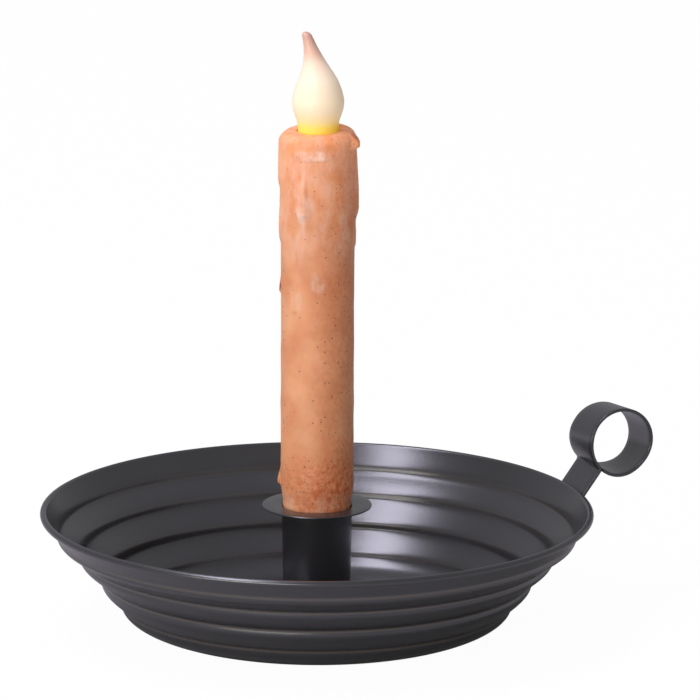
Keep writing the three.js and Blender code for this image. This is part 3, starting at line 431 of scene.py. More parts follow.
def moulded_plastic(name, dark, light, roughness=0.45, grain_size=0.4):
    """Plastic moulded in a finely eroded tool. The eye sees an even colour with a slight
    flow mottle, and a fine matt grain that breaks the highlight."""
    material, tree, place = new_material(name)
    flow = add_node(tree, "ShaderNodeTexNoise", {"Vector": place, "Scale": per_metre(9), "Detail": 2.0})
    grain = {"Vector": place, "Scale": per_metre(grain_size), "Detail": 2.0}
    grained = {"Height": add_node(tree, "ShaderNodeTexNoise", grain), "Strength": 0.3, "Distance": 0.03 * MM}
    sheen = {0: flow, 3: roughness - 0.04, 4: roughness + 0.05}
    return finished(material, {
        "Base Color": add_node(tree, "ShaderNodeValToRGB", {0: flow}, ((0.3, dark), (0.7, light))),
        "Roughness": add_node(tree, "ShaderNodeMapRange", sheen),
        "IOR": 1.53,
        "Normal": add_node(tree, "ShaderNodeBump", grained),
    })


def plated_metal(name, dark, light, roughness, line_spacing):
    """Plated or tinned metal, rolled or drawn. The eye sees a grey metal whose fine draw
    lines run up the piece and stretch its highlights."""
    material, tree, place = new_material(name)
    drawn = add_node(tree, "ShaderNodeMapping", {"Vector": place, "Scale": (1.0, 1.0, 0.08)})
    spaced = {"Vector": drawn, "Scale": per_metre(line_spacing), "Detail": 3.0}
    lines = add_node(tree, "ShaderNodeTexNoise", spaced)
    lined = {"Height": lines, "Strength": 0.2, "Distance": 0.01 * MM}
    return finished(material, {
        "Base Color": add_node(tree, "ShaderNodeValToRGB", {0: lines}, ((0.3, dark), (0.7, light))),
        "Roughness": add_node(tree, "ShaderNodeMapRange", {0: lines, 3: roughness, 4: roughness + 0.12}),
        "Metallic": 1.0,
        "Normal": add_node(tree, "ShaderNodeBump", lined),
    })


def board_laminate():
    """Glass-fibre board under green lacquer. The eye sees a glossy green with the weave of
    the cloth in it, half a millimetre apart."""
    material, tree, place = new_material("lacquered_glass_laminate")
    warp, weft = (
        add_node(tree, "ShaderNodeTexWave", {"Vector": place, "Scale": per_metre(3.1)}, bands_direction=way)
        for way in ("X", "Y")
    )
    threads = {0: warp.outputs["Fac"], 1: weft.outputs["Fac"]}
    cloth = add_node(tree, "ShaderNodeMath", threads, operation="MULTIPLY")
    return finished(material, {
        "Base Color": add_node(tree, "ShaderNodeValToRGB", {0: cloth}, ((0.0, "#1E5530"), (1.0, "#2F7040"))),
        "Roughness": add_node(tree, "ShaderNodeMapRange", {0: cloth, 3: 0.25, 4: 0.35}),
    })


def cast_epoxy():
    """Clear epoxy cast round the lamp's die. The eye sees it pale, glossy and a little
    cloudy inside."""
    material, tree, place = new_material("cast_clear_epoxy")
    clouds = add_node(tree, "ShaderNodeTexNoise", {"Vector": place, "Scale": per_metre(2), "Detail": 2.0})
    colour = add_node(tree, "ShaderNodeValToRGB", {0: clouds}, ((0.3, "#F3DFA0"), (0.7, "#FFF3C8")))
    return finished(material, {
        "Base Color": colour,
        "Roughness": add_node(tree, "ShaderNodeMapRange", {0: clouds, 3: 0.06, 4: 0.14}),
        "Transmission Weight": 0.5,
        "Emission Color": colour,
        "Emission Strength": 0.6,
    })


def shrink_sleeve():
    """Printed shrink film over a steel can. The eye sees a metallic blue grey with fine draw
    lines, and a paler band at one end."""
    material, tree, place = new_material("printed_shrink_sleeve")
    height = add_node(tree, "ShaderNodeSeparateXYZ", {0: place}).outputs[2]
    lines = add_node(tree, "ShaderNodeTexNoise", {"Vector": place, "Scale": per_metre(1.2), "Detail": 3.0})
    level = add_node(tree, "ShaderNodeMath", {0: height, 1: CELL_PITCH * MM}, operation="MODULO")
    band = add_node(tree, "ShaderNodeMath", {0: level, 1: CELL_BAND * MM}, operation="LESS_THAN")
    blue = add_node(tree, "ShaderNodeValToRGB", {0: lines}, ((0.3, "#33404F"), (0.7, "#425064")))
    cream = add_node(tree, "ShaderNodeValToRGB", {0: lines}, ((0.3, "#A9A08C"), (0.7, "#BDB39C")))
    banded = {0: band, 6: blue, 7: cream}
    return finished(material, {
        "Base Color": add_node(tree, "ShaderNodeMix", banded, data_type="RGBA").outputs[2],
        "Roughness": add_node(tree, "ShaderNodeMapRange", {0: lines, 3: 0.25, 4: 0.35}),
        "Metallic": 0.4,
    })


# Making meshes

def linked(name, data):
    """A new object in the scene."""
    made = bpy.data.objects.new(name, data)
    bpy.context.scene.collection.objects.link(made)
    return made


def closed_mesh(name, points, faces):
    """A mesh from points in millimetres, with its faces turned outwards."""
    mesh = bpy.data.meshes.new(name)
    mesh.from_pydata([tuple(MM * c for c in p) for p in points], [], faces)
    turned = bmesh.new()
    turned.from_mesh(mesh)
    bmesh.ops.recalc_face_normals(turned, faces=turned.faces)
    turned.to_mesh(mesh)
    turned.free()
    return mesh


def make_piece(name, points, faces, material, body, node):
    """A smooth piece that rides on a body in place of a CAD node."""
    mesh = closed_mesh(name, points, faces)
    mesh.materials.append(material)
    mesh.shade_smooth()
    piece = linked(name, mesh)
    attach(piece, body)
    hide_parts(node)
    return piece


def crisp(piece, degrees):
    """Keeps edges sharper than this angle crisp."""
    piece.data.set_sharp_from_angle(angle=math.radians(degrees))


def paint_points(piece, name, values):
    """Gives each point of a piece a value that its material reads."""
    layer = piece.data.attributes.new(name, "FLOAT", "POINT")
    layer.data.foreach_set("value", values.astype(np.float32))


def smooth(x, low, high):
    """Eases from 0 to 1 as x goes from low to high."""
    t = np.clip((x - low) / (high - low), 0, 1)
    return t * t * (3 - 2 * t)


def heading(angle):
    """A unit step in a direction given in radians."""
    return np.array([math.cos(angle), math.sin(angle)])


def arc(centre, radius, start, end, steps):
    """Points on an arc, both ends included."""
    angles = np.radians(np.linspace(start, end, steps + 1))
    return [(centre[0] + radius * math.cos(a), centre[1] + radius * math.sin(a)) for a in angles]


def row_faces(rows, count, closed):
    """Faces between rows of points that each go once round; closed joins last and first."""
    faces = []
    for i in range(rows if closed else rows - 1):
        j = (i + 1) % rows
        for k in range(count):
            n = (k + 1) % count
            faces.append([i * count + k, i * count + n, j * count + n, j * count + k])
    return faces


def revolve(section, facets):
    """Points and faces of a section of radius and height turned round the axis. A section
    that starts off the axis is taken as a closed ring."""
    on_axis = section[0][0] < AXIS_REACH
    points, rings = [], []
    for radius, level in section:
        if radius < AXIS_REACH:
            rings.append([len(points)] * facets)
            points.append((0, 0, level))
            continue
        rings.append(list(range(len(points), len(points) + facets)))
        for k in range(facets):
            a = 2 * math.pi * k / facets
            points.append((radius * math.cos(a), radius * math.sin(a), level))
    pairs = list(zip(rings, rings[1:]))
    if not on_axis:
        pairs.append((rings[-1], rings[0]))
    faces = []
    for lower, upper in pairs:
        for k in range(facets):
            n = (k + 1) % facets
            corners = [lower[k], lower[n], upper[n], upper[k]]
            face = list(dict.fromkeys(corners))
            if len(face) > 2:
                faces.append(face)
    return points, faces


# Pan

def rib_points(upper, lower, start, end):
    """A rib's outer skin, from its upper crease to its lower one."""
    upper, lower = np.array(upper), np.array(lower)
    length = np.linalg.norm(upper - lower)
    first = upper + start[1] * length * heading(math.radians(start[0]))
    second = lower - end[1] * length * heading(math.radians(end[0]))
    curve = []
    for i in range(RIB_STEPS + 1):
        t = (1 - math.cos(math.pi * i / RIB_STEPS)) / 2
        u = 1 - t
        curve.append(u ** 3 * upper + 3 * u * u * t * first + 3 * u * t * t * second + t ** 3 * lower)
    return curve


def pan_creases():
    """The rim's tangent point and the creases below it, on the sheet's outer skin."""
    join = math.radians(CURL_START)
    reach = BEAD_RADIUS - SHEET
    radius = RIM_RADIUS - BEAD_RADIUS + reach * math.cos(join)
    creases = [(radius, BEAD_LEVEL + reach * math.sin(join))]
    radius, level = RIM_RADIUS - 2 * BEAD_RADIUS + SHEET, BEAD_LEVEL
    for drop, inset in RIBS:
        radius, level = radius - inset, level - drop
        creases.append((radius, level))
    return creases


def evenly(points, step):
    """The same line with its points one step apart."""
    points = np.array(points)
    along = np.concatenate([[0], np.cumsum(np.linalg.norm(np.diff(points, axis=0), axis=1))])
    places = np.linspace(0, along[-1], int(along[-1] / step) + 1)
    return np.stack([np.interp(places, along, points[:, axis]) for axis in (0, 1)], -1)


def rounded(points, radius, step):
    """The line with its sharp bends drawn out, as thick sheet takes them; its ends stay."""
    reach = int(BEND_REACH * radius / step)
    offsets = np.arange(-reach, reach + 1) * step
    weights = np.exp(-0.5 * (offsets / radius) ** 2)
    weights /= weights.sum()
    before = 2 * points[0] - points[reach:0:-1]
    after = 2 * points[-1] - points[-2:-reach - 2:-1]
    longer = np.concatenate([before, points, after])
    return np.stack([np.convolve(longer[:, axis], weights, "valid") for axis in (0, 1)], -1)


def pan_section():
    """The sheet's two skins, from the floor out to the rim and round the rolled bead."""
    creases = pan_creases()
    ribs = [rib_points(creases[0], creases[1], RIM_WALL, RIM_WALL)]
    ribs += [rib_points(upper, lower, RISER, TREAD) for upper, lower in zip(creases[1:], creases[2:])]
    ribs.append(rib_points(creases[-1], (SOLE_RADIUS, 0.0), FOOT, SOLE))
    line = [here for rib in ribs for here in rib] + [(SOLE_RADIUS * SOLE_EDGE, 0.0)]
    line = evenly(line[::-1], ROW_STEP)
    outer_skin = rounded(line, OUTER_BEND, ROW_STEP)
    softer = rounded(line, INNER_BEND, ROW_STEP)
    way = np.gradient(softer, axis=0)
    way /= np.linalg.norm(way, axis=1)[:, None]
    inner_skin = softer + SHEET * np.stack([-way[:, 1], way[:, 0]], -1)
    bead = (RIM_RADIUS - BEAD_RADIUS, BEAD_LEVEL)
    section = [(0.0, 0.0), (SOLE_RADIUS * FLOOR_RING, 0.0)] + [tuple(here) for here in outer_skin]
    section += arc(bead, BEAD_RADIUS - SHEET, CURL_START, CURL_END, BEAD_STEPS[0])[1:]
    section += arc(bead, BEAD_RADIUS, CURL_END, CURL_START, BEAD_STEPS[1])
    section += [tuple(here) for here in inner_skin[::-1][1:]]
    section += [(SOLE_RADIUS * FLOOR_RING, SHEET), (0.0, SHEET)]
    return section


def pressed_pan(material):
    section = pan_section()
    points, faces = revolve(section, PAN_FACETS)
    piece = make_piece("pressed_pan", points, faces, material, "holder", "pan")
    # the first half of the section is the outer skin and part of the bead
    half = len(section) // 2
    skins = np.array(section)
    # thin lighter lines along the creases, partly wear and partly a painted highlight
    wear_and_glint = np.zeros(len(section))
    for crease in pan_creases()[1:]:
        nose = np.array(crease) + (WEAR_GLINT_EDGE, -WEAR_GLINT_EDGE / 2)
        heel = np.array(crease) - WEAR_GLINT_EDGE
        outside = 1 - smooth(np.linalg.norm(skins[:half] - nose, axis=1), WEAR_GLINT_EDGE, 2 * WEAR_GLINT_EDGE)
        inside = 1 - smooth(np.linalg.norm(skins[half:] - heel, axis=1), 2 * WEAR_GLINT_EDGE, 4 * WEAR_GLINT_EDGE)
        wear_and_glint = np.maximum(wear_and_glint, np.concatenate([outside, WEAR_GLINT_INSIDE * inside]))
    # the section's two ends lie on the axis and are one point each
    ring_values = np.repeat(wear_and_glint[skins[:, 0] > AXIS_REACH], PAN_FACETS)
    paint_points(piece, "wear_and_glint", np.concatenate([[0.0], ring_values, [0.0]]))


# Cup

def drawn_cup(material):
    outer_corner, outer_lip = CUP_CORNER + SHEET, CUP_LIP + SHEET
    bottom = (CUP_FLOOR_RADIUS + SHEET - outer_corner, SHEET + outer_corner)
    mouth = (CUP_MOUTH_RADIUS + outer_lip, CUP_TOP - outer_lip)
    edge = (FLANGE_RADIUS - SHEET / 2, CUP_TOP - SHEET / 2)
    section = [(0.0, SHEET)]
    section += arc(bottom, outer_corner, -90, 0, FOLD_STEPS)
    section += arc(mouth, CUP_LIP, 180, 90, FOLD_STEPS)
    section += arc(edge, SHEET / 2, -90, 90, FOLD_STEPS)
    section += arc(mouth, outer_lip, 90, 180, FOLD_STEPS)
    section += arc(bottom, CUP_CORNER, 0, -90, FOLD_STEPS)
    section += [(0.0, CUP_FLOOR)]
    points, faces = revolve(section, CUP_FACETS)
    make_piece("drawn_cup", points, faces, material, "holder", "candle_cup")


# Handle

def handle_path():
    """The strip's middle line in the plane of its bend, the ring's centre, and the stem's
    direction."""
    along = heading(HANDLE_ANGLE)
    right = heading(HANDLE_ANGLE - math.pi / 2)
    # the stem lies on the outermost bends of the wall, and the ring a little to its side
    outermost = max(np.dot(here, right) for here in pan_section())
    stem_side = outermost + GAP + STRIP / 2
    rim_along = (RIM_TOP - stem_side * right[1]) / along[1]
    centre = (stem_side + STEM_OFFSET) * right + (rim_along + NECK_LENGTH + RING_RADIUS) * along
    middle = RING_RADIUS - STRIP / 2
    bend = NECK_BEND + STRIP / 2
    bend_x = -STEM_OFFSET - bend
    bend_centre = (bend_x, -math.sqrt((middle + bend) ** 2 - bend_x ** 2))
    tangent = math.degrees(math.atan2(-bend_centre[1], -bend_x))
    free_end = -90 + math.degrees(math.asin((STRIP / 2 + GAP - STEM_OFFSET) / middle))
    stem = RING_RADIUS + NECK_LENGTH + STEM_ON_WALL
    local = [(-STEM_OFFSET, y) for y in np.linspace(-stem, bend_centre[1], STEM_ROWS)][:-1]
    local += arc(bend_centre, bend, 0, tangent, NECK_STEPS)
    local += arc((0, 0), middle, tangent + 180, free_end, RING_STEPS)[1:]
    path = [centre + x * right + y * along for x, y in local]
    return path, centre, along


def strip_outline():
    """The strip's section, across its thickness and its width, with broken edges."""
    half_t, half_w = STRIP / 2 - STRIP_EDGE, STRIP_WIDTH / 2 - STRIP_EDGE
    corners = []
    for x, y, start in ((1, 1, 0), (-1, 1, 90), (-1, -1, 180), (1, -1, 270)):
        corners.append(arc((x * half_t, y * half_w), STRIP_EDGE, start, start + 90, EDGE_STEPS))
    rows = np.linspace(half_w, -half_w, WIDTH_ROWS)[1:-1]
    first_face = [(-STRIP / 2, y) for y in rows]
    second_face = [(STRIP / 2, y) for y in rows[::-1]]
    return corners[0] + corners[1] + first_face + corners[2] + corners[3] + second_face


def strip_handle(material):
    """Sheared strip, tumbled so that its edges are just broken, then bent cold."""
    path, centre, along = handle_path()
    outline = strip_outline()
    points = []
    for i, here in enumerate(path):
        way = path[min(i + 1, len(path) - 1)] - path[max(i - 1, 0)]
        way = way / np.linalg.norm(way)
        out = np.array([way[1], -way[0]])
        for t, w in outline:
            spot = here + t * out
            # the stem stays square to the pan, and the ring leans more and more
            past = np.dot(spot - centre, along) + RING_RADIUS
            share = smooth(past / RING_RADIUS, 0, 1)
            points.append((spot[0], w, spot[1] - math.tan(RING_TWIST) * share * w))
    count = len(outline)
    faces = row_faces(len(path), count, closed=False)
    last = (len(path) - 1) * count
    faces.append(list(range(count))[::-1])
    faces.append([last + k for k in range(count)])
    piece = make_piece("strip_handle", points, faces, material, "holder", "handle_strip")
    crisp(piece, STRIP_CRISP)


# Wax

def facing(azimuth, side):
    """1 on the side named, 0 square to it and -1 opposite."""
    return np.cos(np.radians(azimuth - side))


def round_way(azimuth, side):
    """Distance round the candle from the side named."""
    return np.radians((azimuth - side + 180) % 360 - 180) * WAX_RADIUS


def patch(azimuth, below, side, depth, half_width, half_height):
    """A soft round patch of the candle's skin."""
    across = round_way(azimuth, side) / half_width
    reach = np.sqrt(across ** 2 + ((below - depth) / half_height) ** 2)
    return 1 - smooth(reach, PATCH_CORE, 1.0)


def patches(azimuth, below, marks):
    """Several patches together, each as strong as its first number says."""
    return sum(strength * patch(azimuth, below, *place) for strength, *place in marks)


def run_swell(azimuth, below):
    """How far the runs stand proud, each a thin trail that ends in a full drop."""
    swell = np.zeros_like(azimuth)
    for side, start, end, width, height in RUNS:
        down = (below - start) / (end - start)
        wide = RUN_NARROW + (1 - RUN_NARROW) * smooth(down, *RUN_WIDENS)
        across = np.clip(np.abs(round_way(azimuth, side)) / (RUN_FLANK * width * wide), 0, 1)
        trail = smooth(down, *RUN_RISES) * (1 - smooth(down, *RUN_ENDS))
        swell = np.maximum(swell, height * (1 - across ** 2) ** 2 * trail)
    return swell


def fractal(points, size, octaves, seed):
    """Seeded noise at each point, about -1 to 1."""
    shift = Vector((seed, 2 * seed, 3 * seed))
    spots = [Vector(point) / size + shift for point in points]
    return np.array([noise.fractal(spot, NOISE_FALL, NOISE_STEP, octaves) for spot in spots])


def wax_rows():
    """Rows of the coat's skin: radius, height, and how much the surface may wander."""
    foot_radius, foot_start, foot_end = WAX_FOOT
    taper, taper_height = WAX_TAPER
    overdip, dip_start, dip_full = OVERDIP
    bottom = CUP_TOP - foot_start
    rows = [(WAX_BORE, bottom, 0.0), (foot_radius, bottom, 0.0), (foot_radius, CUP_TOP - foot_end, 0.0)]
    wall_top = WAX_TOP - WAX_SHOULDER
    for level in np.linspace(CUP_TOP, wall_top, WAX_ROWS):
        foot = taper * (1 - smooth(level - CUP_TOP, 0, taper_height))
        dip = overdip * smooth(level, WAX_TOP - dip_start, WAX_TOP - dip_full)
        wander = float(smooth(level - CUP_TOP, 0, WANDER_START))
        rows.append((WAX_RADIUS - foot + dip, level, wander))
    shoulder = WAX_RADIUS + overdip - WAX_SHOULDER
    lip = (FLAME_HOLE + HOLE_LIP, WAX_TOP - HOLE_LIP)
    rows += [(r, z, 1.0) for r, z in arc((shoulder, wall_top), WAX_SHOULDER, 0, 90, SHOULDER_STEPS)[1:]]
    rows += [(r, WAX_TOP, TOP_WANDER) for r in np.linspace(shoulder, lip[0], LIP_STEPS)[1:]]
    rows += [(r, z, LIP_WANDER) for r, z in arc(lip, HOLE_LIP, 90, 180, LIP_STEPS)[1:]]
    rows += [(FLAME_HOLE, WAX_TOP - HOLE_DEPTH, 0.0), (WAX_BORE, WAX_TOP - HOLE_DEPTH, 0.0)]
    return rows


def dipped_coat(material):
    rows = np.array(wax_rows())
    radius, level, wander = (np.repeat(column[:, None], WAX_FACETS, 1) for column in rows.T)
    azimuth = np.tile(np.linspace(0, 360, WAX_FACETS, endpoint=False), (len(rows), 1))
    x, y = np.cos(np.radians(azimuth)), np.sin(np.radians(azimuth))
    below = WAX_TOP - level
    plain = np.stack([radius * x, radius * y, level], -1).reshape(-1, 3)
    lumps = fractal(plain, *LUMPS).reshape(radius.shape)
    grit = fractal(plain, *GRIT).reshape(radius.shape)
    runs = run_swell(azimuth, below)
    # rough skin in the last dip's edge near the top, down the right and round the foot; the darker orange
    # down the right and on the foot's right side is partly a painted shade
    dip_edge = patch(azimuth, below, *DIP_EDGE)
    middle = patch(azimuth, below, *MIDDLE_BLOOM)
    foot_shade_side, foot_change = FOOT_CRUST_AND_SHADE_SIDE
    foot = smooth(below, *FOOT_CRUST) * (1 - foot_change + foot_change * facing(azimuth, foot_shade_side))
    right = RIGHT_CRUST_AND_SHADE_STRENGTH * smooth(facing(azimuth, RIGHT_CRUST_AND_SHADE_SIDE), *RIGHT_CRUST_AND_SHADE_SPREAD)
    rough = np.clip(dip_edge + foot + right + MIDDLE_GRIT * middle, 0, 1)
    swell = LUMP_HEIGHT * lumps + runs + (CRUST_GRIT * rough + FINE_GRIT) * grit + DIP_EDGE_HEIGHT * dip_edge
    # the lip round the flame is higher on one side, as the candle was dipped at a slant
    rise, high_side, fade = MOUTH_SLANT
    slant = rise * facing(azimuth, high_side) * smooth(level, WAX_TOP - fade, WAX_TOP)
    width = radius + swell * wander
    skin = np.stack([width * x, width * y, level + slant * wander + LUMP_LIFT * lumps * wander], -1)
    points = skin.reshape(-1, 3).tolist()
    faces = row_faces(len(rows), WAX_FACETS, closed=True)
    piece = make_piece("dipped_coat", points, faces, material, "candle", "wax_coat")
    upper = 1 - smooth(below, *UPPER_BLOOM)
    foot_edge = smooth(below, *FOOT_BLOOM)
    glossy_side = smooth(facing(azimuth, GLOSSY_SIDE), *GLOSSY_SPREAD)
    spice = SPICE_AND_SHADE["everywhere"] + SPICE_AND_SHADE["dip_edge"] * dip_edge
    spice += SPICE_AND_SHADE["foot"] * foot + SPICE_AND_SHADE["right"] * right
    # the pale layer: bloom, with the pale patches that include painted highlights
    bloom_and_highlight = BLOOM["upper"] * upper + BLOOM["middle"] * middle + BLOOM["foot"] * foot_edge
    bloom_and_highlight += BLOOM["dip_edge"] * dip_edge + patches(azimuth, below, BLOOM_AND_HIGHLIGHT_PATCHES)
    paint = {
        "crust_and_shade": spice,
        "stain": np.clip(patches(azimuth, below, BROWN_DROPS), 0, 1),
        "bloom_and_highlight": np.clip(bloom_and_highlight, 0, 1),
        "run": np.clip(GLOSS["runs"] * runs + GLOSS["side"] * glossy_side, 0, 1),
        "glow": np.clip(1 - below / GLOW_DEPTH, 0, 1) ** GLOW_FALL,
    }
    for name, values in paint.items():
        paint_points(piece, name, values.reshape(-1))


# Flame

def flame_radius(rise):
    """Outside radius at a height above the wax."""
    if rise <= FLAME_BELLY_RISE:
        t = max(rise, 0) / FLAME_BELLY_RISE
        share = t ** 3 * (t * (t * 6 - 15) + 10)
        return FLAME_NECK + (FLAME_BELLY - FLAME_NECK) * share
    share = (rise - FLAME_BELLY_RISE) / (FLAME_RISE - FLAME_BELLY_RISE)
    curved = (FLAME_BELLY - FLAME_TIP - FLAME_SHOULDER) * math.cos(math.pi / 2 * share) ** FLAME_PINCH
    return FLAME_TIP + FLAME_SHOULDER * (1 - share) + curved


def bent_aside(point):
    """A point of the upright flame, moved to where the flame's lean takes it."""
    x, y, z = point
    start = FLAME_RISE * FLAME_LEAN_START
    share = max(0, (z - WAX_TOP - start) / (FLAME_RISE - start))
    shift = FLAME_LEAN * share ** FLAME_LEAN_CURVE
    return x + shift * math.cos(FLAME_LEAN_AZIMUTH), y + shift * math.sin(FLAME_LEAN_AZIMUTH), z


def soft_flame(material):
    bore, depth = FLAME_SEAT
    outside = [(bore, WAX_TOP - depth), (FLAME_NECK, WAX_TOP - depth)]
    for rise in np.linspace(0, FLAME_RISE - FLAME_TIP, FLAME_ROWS):
        outside.append((flame_radius(rise), WAX_TOP + rise))
    width, level = outside[-1]
    for a in np.radians(np.linspace(0, 90, TIP_STEPS + 1)[1:-1]):
        outside.append((width * math.cos(a), level + FLAME_TIP * math.sin(a)))
    outside.append((0.0, level + FLAME_TIP))
    hollow_top, first_row = FLAME_HOLLOW
    inside = [(0.0, WAX_TOP + hollow_top)]
    for rise in np.linspace(first_row, 0, HOLLOW_ROWS):
        roof = math.sqrt(1 - (rise / hollow_top) ** HOLLOW_ROUND)
        inside.append(((flame_radius(rise) - FLAME_WALL) * roof, WAX_TOP + rise))
    points, faces = revolve(inside + outside, ROUND_FACETS)
    leaned = [bent_aside(point) for point in points]
    make_piece("soft_flame", leaned, faces, material, "candle", "flame_tip")


# Tube, cap and knob

def sector(inner, outer, start, end, bottom, height):
    """A closed sector of a ring."""
    loop = arc((0, 0), outer, start, end, SECTOR_STEPS) + arc((0, 0), inner, end, start, SECTOR_STEPS)
    count = len(loop)
    points = [(x, y, bottom) for x, y in loop] + [(x, y, bottom + height) for x, y in loop]
    faces = row_faces(2, count, closed=False)
    faces.append(list(range(count))[::-1])
    faces.append(list(range(count, 2 * count)))
    return points, faces


def box_solid(length, width, height, x, y, bottom):
    """A box whose middle and bottom are given."""
    points = [
        (x + sx * length / 2, y + sy * width / 2, bottom + sz * height)
        for sz in (0, 1) for sx, sy in ((-1, -1), (1, -1), (1, 1), (-1, 1))
    ]
    faces = [[3, 2, 1, 0], [4, 5, 6, 7], [0, 1, 5, 4], [1, 2, 6, 5], [2, 3, 7, 6], [3, 0, 4, 7]]
    return points, faces


def carve(piece, solids, operation):
    """Cuts solids out of a piece, or joins them to it."""
    tools = [linked("tool", closed_mesh("tool", *solid)) for solid in solids]
    for tool in tools:
        modifier = piece.modifiers.new("carve", "BOOLEAN")
        modifier.operation = operation
        modifier.solver = "EXACT"
        modifier.object = tool
    graph = bpy.context.evaluated_depsgraph_get()
    mesh = bpy.data.meshes.new_from_object(piece.evaluated_get(graph))
    piece.modifiers.clear()
    piece.data = mesh
    for tool in tools:
        bpy.data.objects.remove(tool)
    mesh.shade_smooth()
    crisp(piece, MOULD_CRISP)


def half_angle(width):
    """Half the angle that a width takes up at the tube's bore."""
    return math.degrees(width / 2 / TUBE_BORE)


def candle_sleeve(material):
    """Extruded tube with two L-shaped bayonet slots punched into its foot."""
    section = [
        (TUBE_BORE, TUBE_BOTTOM), (TUBE_RADIUS, TUBE_BOTTOM), (TUBE_RADIUS, TUBE_TOP), (TUBE_BORE, TUBE_TOP),
    ]
    points, faces = revolve(section, ROUND_FACETS)
    piece = make_piece("candle_sleeve", points, faces, material, "candle", "candle_tube")
    half = half_angle(LUG_WIDTH + LUG_PLAY)
    cuts = []
    for locked in LUG_ANGLES:
        free = locked + BAYONET_TURN
        cuts.append(sector(*SLOT_CUTTER, locked - half, free + half, *SLOT_RUN))
        cuts.append(sector(*SLOT_CUTTER, free - half, free + half, *SLOT_ENTRY))
    carve(piece, cuts, "DIFFERENCE")


def bayonet_cap(material):
    """Moulded cap: rim, plug, two lugs and a thumb pocket with the knob's slot."""
    section = [
        (0.0, CAP_BOTTOM), (TUBE_RADIUS - CAP_EDGE, CAP_BOTTOM), (TUBE_RADIUS, CAP_BOTTOM + CAP_EDGE),
        (TUBE_RADIUS, CAP_TOP), (PLUG_RADIUS, CAP_TOP), (PLUG_RADIUS, PLUG_TOP), (PLUG_BORE, PLUG_TOP),
        (PLUG_BORE, LEDGE_LEVEL), (LEDGE_BORE, LEDGE_LEVEL), (LEDGE_BORE, CAP_TOP), (0.0, CAP_TOP),
    ]
    points, faces = revolve(section, ROUND_FACETS)
    piece = make_piece("bayonet_cap", points, faces, material, "cap", "base_cap")
    half = half_angle(LUG_WIDTH)
    inner, outer = PLUG_RADIUS - LUG_ROOT, PLUG_RADIUS + LUG_REACH
    lugs = [sector(inner, outer, a - half, a + half, LUG_LEVEL, LUG_HEIGHT) for a in LUG_ANGLES]
    carve(piece, lugs, "UNION")
    carve(piece, [box_solid(*THUMB_POCKET), box_solid(*KNOB_SLOT)], "DIFFERENCE")


def ribbed_knob(material):
    """The switch's knob, with three grip ribs across its face."""
    low, high = (np.array(corner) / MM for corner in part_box("switch_knob"))
    length, width, height = high - low
    x, y = (high + low)[:2] / 2
    bottom = low[2]
    rib_length, rib_height = GRIP_RIB
    points, faces = box_solid(length, width, height - rib_height, x, y, bottom + rib_height)
    for step in (-1, 0, 1):
        middle = x + GRIP_SPACING * step
        more, sides = box_solid(rib_length, width - GRIP_INSET, rib_height, middle, y, bottom)
        faces += [[k + len(points) for k in side] for side in sides]
        points += more
    piece = make_piece("ribbed_knob", points, faces, material, "switch", "switch_knob")
    crisp(piece, KNOB_CRISP)
    bevel = piece.modifiers.new("edges", "BEVEL")
    bevel.width = KNOB_BEVEL * MM
    bevel.segments = 2


# Stage, light and camera

def view_axes():
    """Directions of the photograph: to the right, up the picture, and back to the camera."""
    a, e = CAMERA_AZIMUTH, CAMERA_ELEVATION
    back = Vector((math.sin(a) * math.cos(e), -math.cos(a) * math.cos(e), math.sin(e)))
    right = Vector((math.cos(a), math.sin(a), 0))
    return right, back.cross(right), back


def studio_floor():
    """A pale sweep. The camera sees it as white with a faint shadow under the pan; the pan
    itself mirrors plain grey paper."""
    material = bpy.data.materials.new("pale_studio_sweep")
    material.use_nodes = True
    tree = material.node_tree
    tree.nodes.clear()
    grain = add_node(tree, "ShaderNodeTexNoise", {"Scale": FLOOR_GRAIN, "Detail": 2.0})
    grey = add_node(tree, "ShaderNodeValToRGB", {0: grain}, ((0.3, "#C2C0BF"), (0.7, "#C9C7C6")))
    seen = add_node(tree, "ShaderNodeLightPath").outputs["Is Camera Ray"]
    whitened = {0: seen, 6: grey, 7: linear("#FFFFFF")}
    paper = add_node(tree, "ShaderNodeMix", whitened, data_type="RGBA").outputs[2]
    plain = add_node(tree, "ShaderNodeBsdfDiffuse", {"Color": paper})
    white = add_node(tree, "ShaderNodeEmission", {"Color": linear("#FFFFFF"), "Strength": 1.0})
    share = add_node(tree, "ShaderNodeMath", {0: seen, 1: FLOOR_WHITE}, operation="MULTIPLY")
    mixed = add_node(tree, "ShaderNodeMixShader", {0: share, 1: plain, 2: white})
    add_node(tree, "ShaderNodeOutputMaterial", {"Surface": mixed})
    mesh = bpy.data.meshes.new("studio_floor")
    corners = [(x * FLOOR_REACH, y * FLOOR_REACH, 0) for x, y in ((-1, -1), (1, -1), (1, 1), (-1, 1))]
    mesh.from_pydata(corners, [], [(0, 1, 2, 3)])
    mesh.materials.append(material)
    floor = linked("studio_floor", mesh)


def soft_light(name, toward, along, distance, width, length, radiance, colour):
    """A softbox that faces the pan. Where it is seen from the pan and which way its long
    side runs are directions of the picture: right, away and up. Its sizes are in metres."""
    right, _, back = view_axes()
    flat = Vector((back.x, back.y, 0)).normalized()
    way = (right * toward[0] - flat * toward[1] + Vector((0, 0, toward[2]))).normalized()
    side = right * along[0] - flat * along[1] + Vector((0, 0, along[2]))
    side = (side - way * side.dot(way)).normalized()
    data = bpy.data.lights.new(name, "AREA")
    data.shape = "RECTANGLE"
    data.size = length
    data.size_y = width
    data.energy = radiance * math.pi * width * length
    data.color = linear(colour)[:3]
    lamp = linked(name, data)
    lamp.location = LIGHT_AIM + way * distance
    lamp.rotation_euler = Matrix((side, way.cross(side), way)).transposed().to_euler()


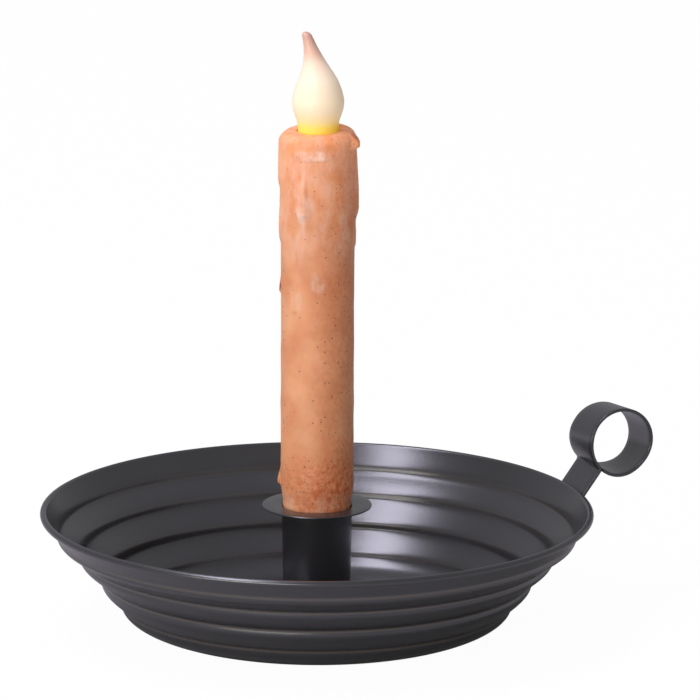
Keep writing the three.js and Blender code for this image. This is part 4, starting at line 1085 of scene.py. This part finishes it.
def studio_light():
    world = bpy.data.worlds.new("studio")
    bpy.context.scene.world = world
    world.use_nodes = True
    tree = world.node_tree
    tree.nodes.clear()
    seen = add_node(tree, "ShaderNodeLightPath").outputs["Is Camera Ray"]
    room = add_node(tree, "ShaderNodeBackground", {"Color": linear("#F4F4FA"), "Strength": ROOM_LIGHT})
    white = add_node(tree, "ShaderNodeBackground", {"Color": linear("#FFFFFF"), "Strength": 1.0})
    mixed = add_node(tree, "ShaderNodeMixShader", {0: seen, 1: room, 2: white})
    add_node(tree, "ShaderNodeOutputWorld", {"Surface": mixed})
    # a long box overhead, from the front left to a little past the top, shines on every rib
    soft_light(
        "key_softbox", toward=(-0.4, -0.24, 0.88), along=(-0.34, -0.94, 0), distance=1.71,
        width=0.44, length=2.2, radiance=9.0, colour="#EDEAFF",
    )
    # a low box at the front left lights the candle's side
    soft_light(
        "front_softbox", toward=(-0.47, -0.87, 0.12), along=(-0.87, 0.47, 0), distance=1.8,
        width=0.5, length=1.4, radiance=6.0, colour="#FFFDF8",
    )


def photograph_camera():
    right, up, back = view_axes()
    data = bpy.data.cameras.new("camera")
    data.sensor_width = SENSOR_WIDTH
    data.lens = CAMERA_DISTANCE / PIXEL * SENSOR_WIDTH / IMAGE_SIDE
    data.clip_start, data.clip_end = CAMERA_CLIP
    camera = linked("camera", data)
    bpy.context.scene.camera = camera
    base = Vector((0, 0, AXIS_LEVEL * MM))
    camera.location = base + back * CAMERA_DISTANCE
    middle = IMAGE_SIDE / 2
    aim = base + right * (middle - AXIS_PIXEL[0]) * PIXEL + up * (AXIS_PIXEL[1] - middle) * PIXEL
    ahead = (aim - camera.location).normalized()
    turn = ahead.to_track_quat("-Z", "Y").to_matrix() @ Matrix.Rotation(CAMERA_ROLL, 3, "Z")
    camera.rotation_euler = turn.to_euler()


# Dressing the part

def dress(material, *nodes):
    """Gives carried-over solids their finish."""
    for node in nodes:
        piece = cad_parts[node]
        piece.data.materials.clear()
        piece.data.materials.append(material)


coat = painted_steel()
pressed_pan(coat)
drawn_cup(coat)
strip_handle(coat)
dipped_coat(dipped_wax())
soft_flame(flame_silicone())

ivory = moulded_plastic("moulded_ivory_abs", "#DDD6C6", "#E8E2D4")
black = moulded_plastic("moulded_black_nylon", "#17171A", "#202023", 0.5)
candle_sleeve(ivory)
bayonet_cap(ivory)
ribbed_knob(black)

nickel = plated_metal("nickel_plated_strip", "#B5B0A6", "#CFCBC2", 0.22, 0.35)
tinned = plated_metal("tinned_copper_wire", "#A9ABAD", "#C9CBCC", 0.28, 0.2)
dress(ivory, "lamp_carrier", "cap_insulator")
dress(black, "switch_body", "driver_chip")
dress(cast_epoxy(), "led")
dress(tinned, "led_lead_plus", "led_lead_minus")
dress(board_laminate(), "driver_board")
dress(nickel, "top_contact", "contact_strip", "contact_ring", "battery_spring")
dress(shrink_sleeve(), "cell_upper", "cell_lower")
dress(moulded_plastic("red_wire_sleeve", "#8E2822", "#A3342C", 0.35, 0.6), "switch_wire_ring")
dress(moulded_plastic("black_wire_sleeve", "#1A1A1C", "#232326", 0.35, 0.6), "switch_wire_spring")

studio_floor()
studio_light()
photograph_camera()

bpy.context.scene.view_settings.view_transform = "Standard"
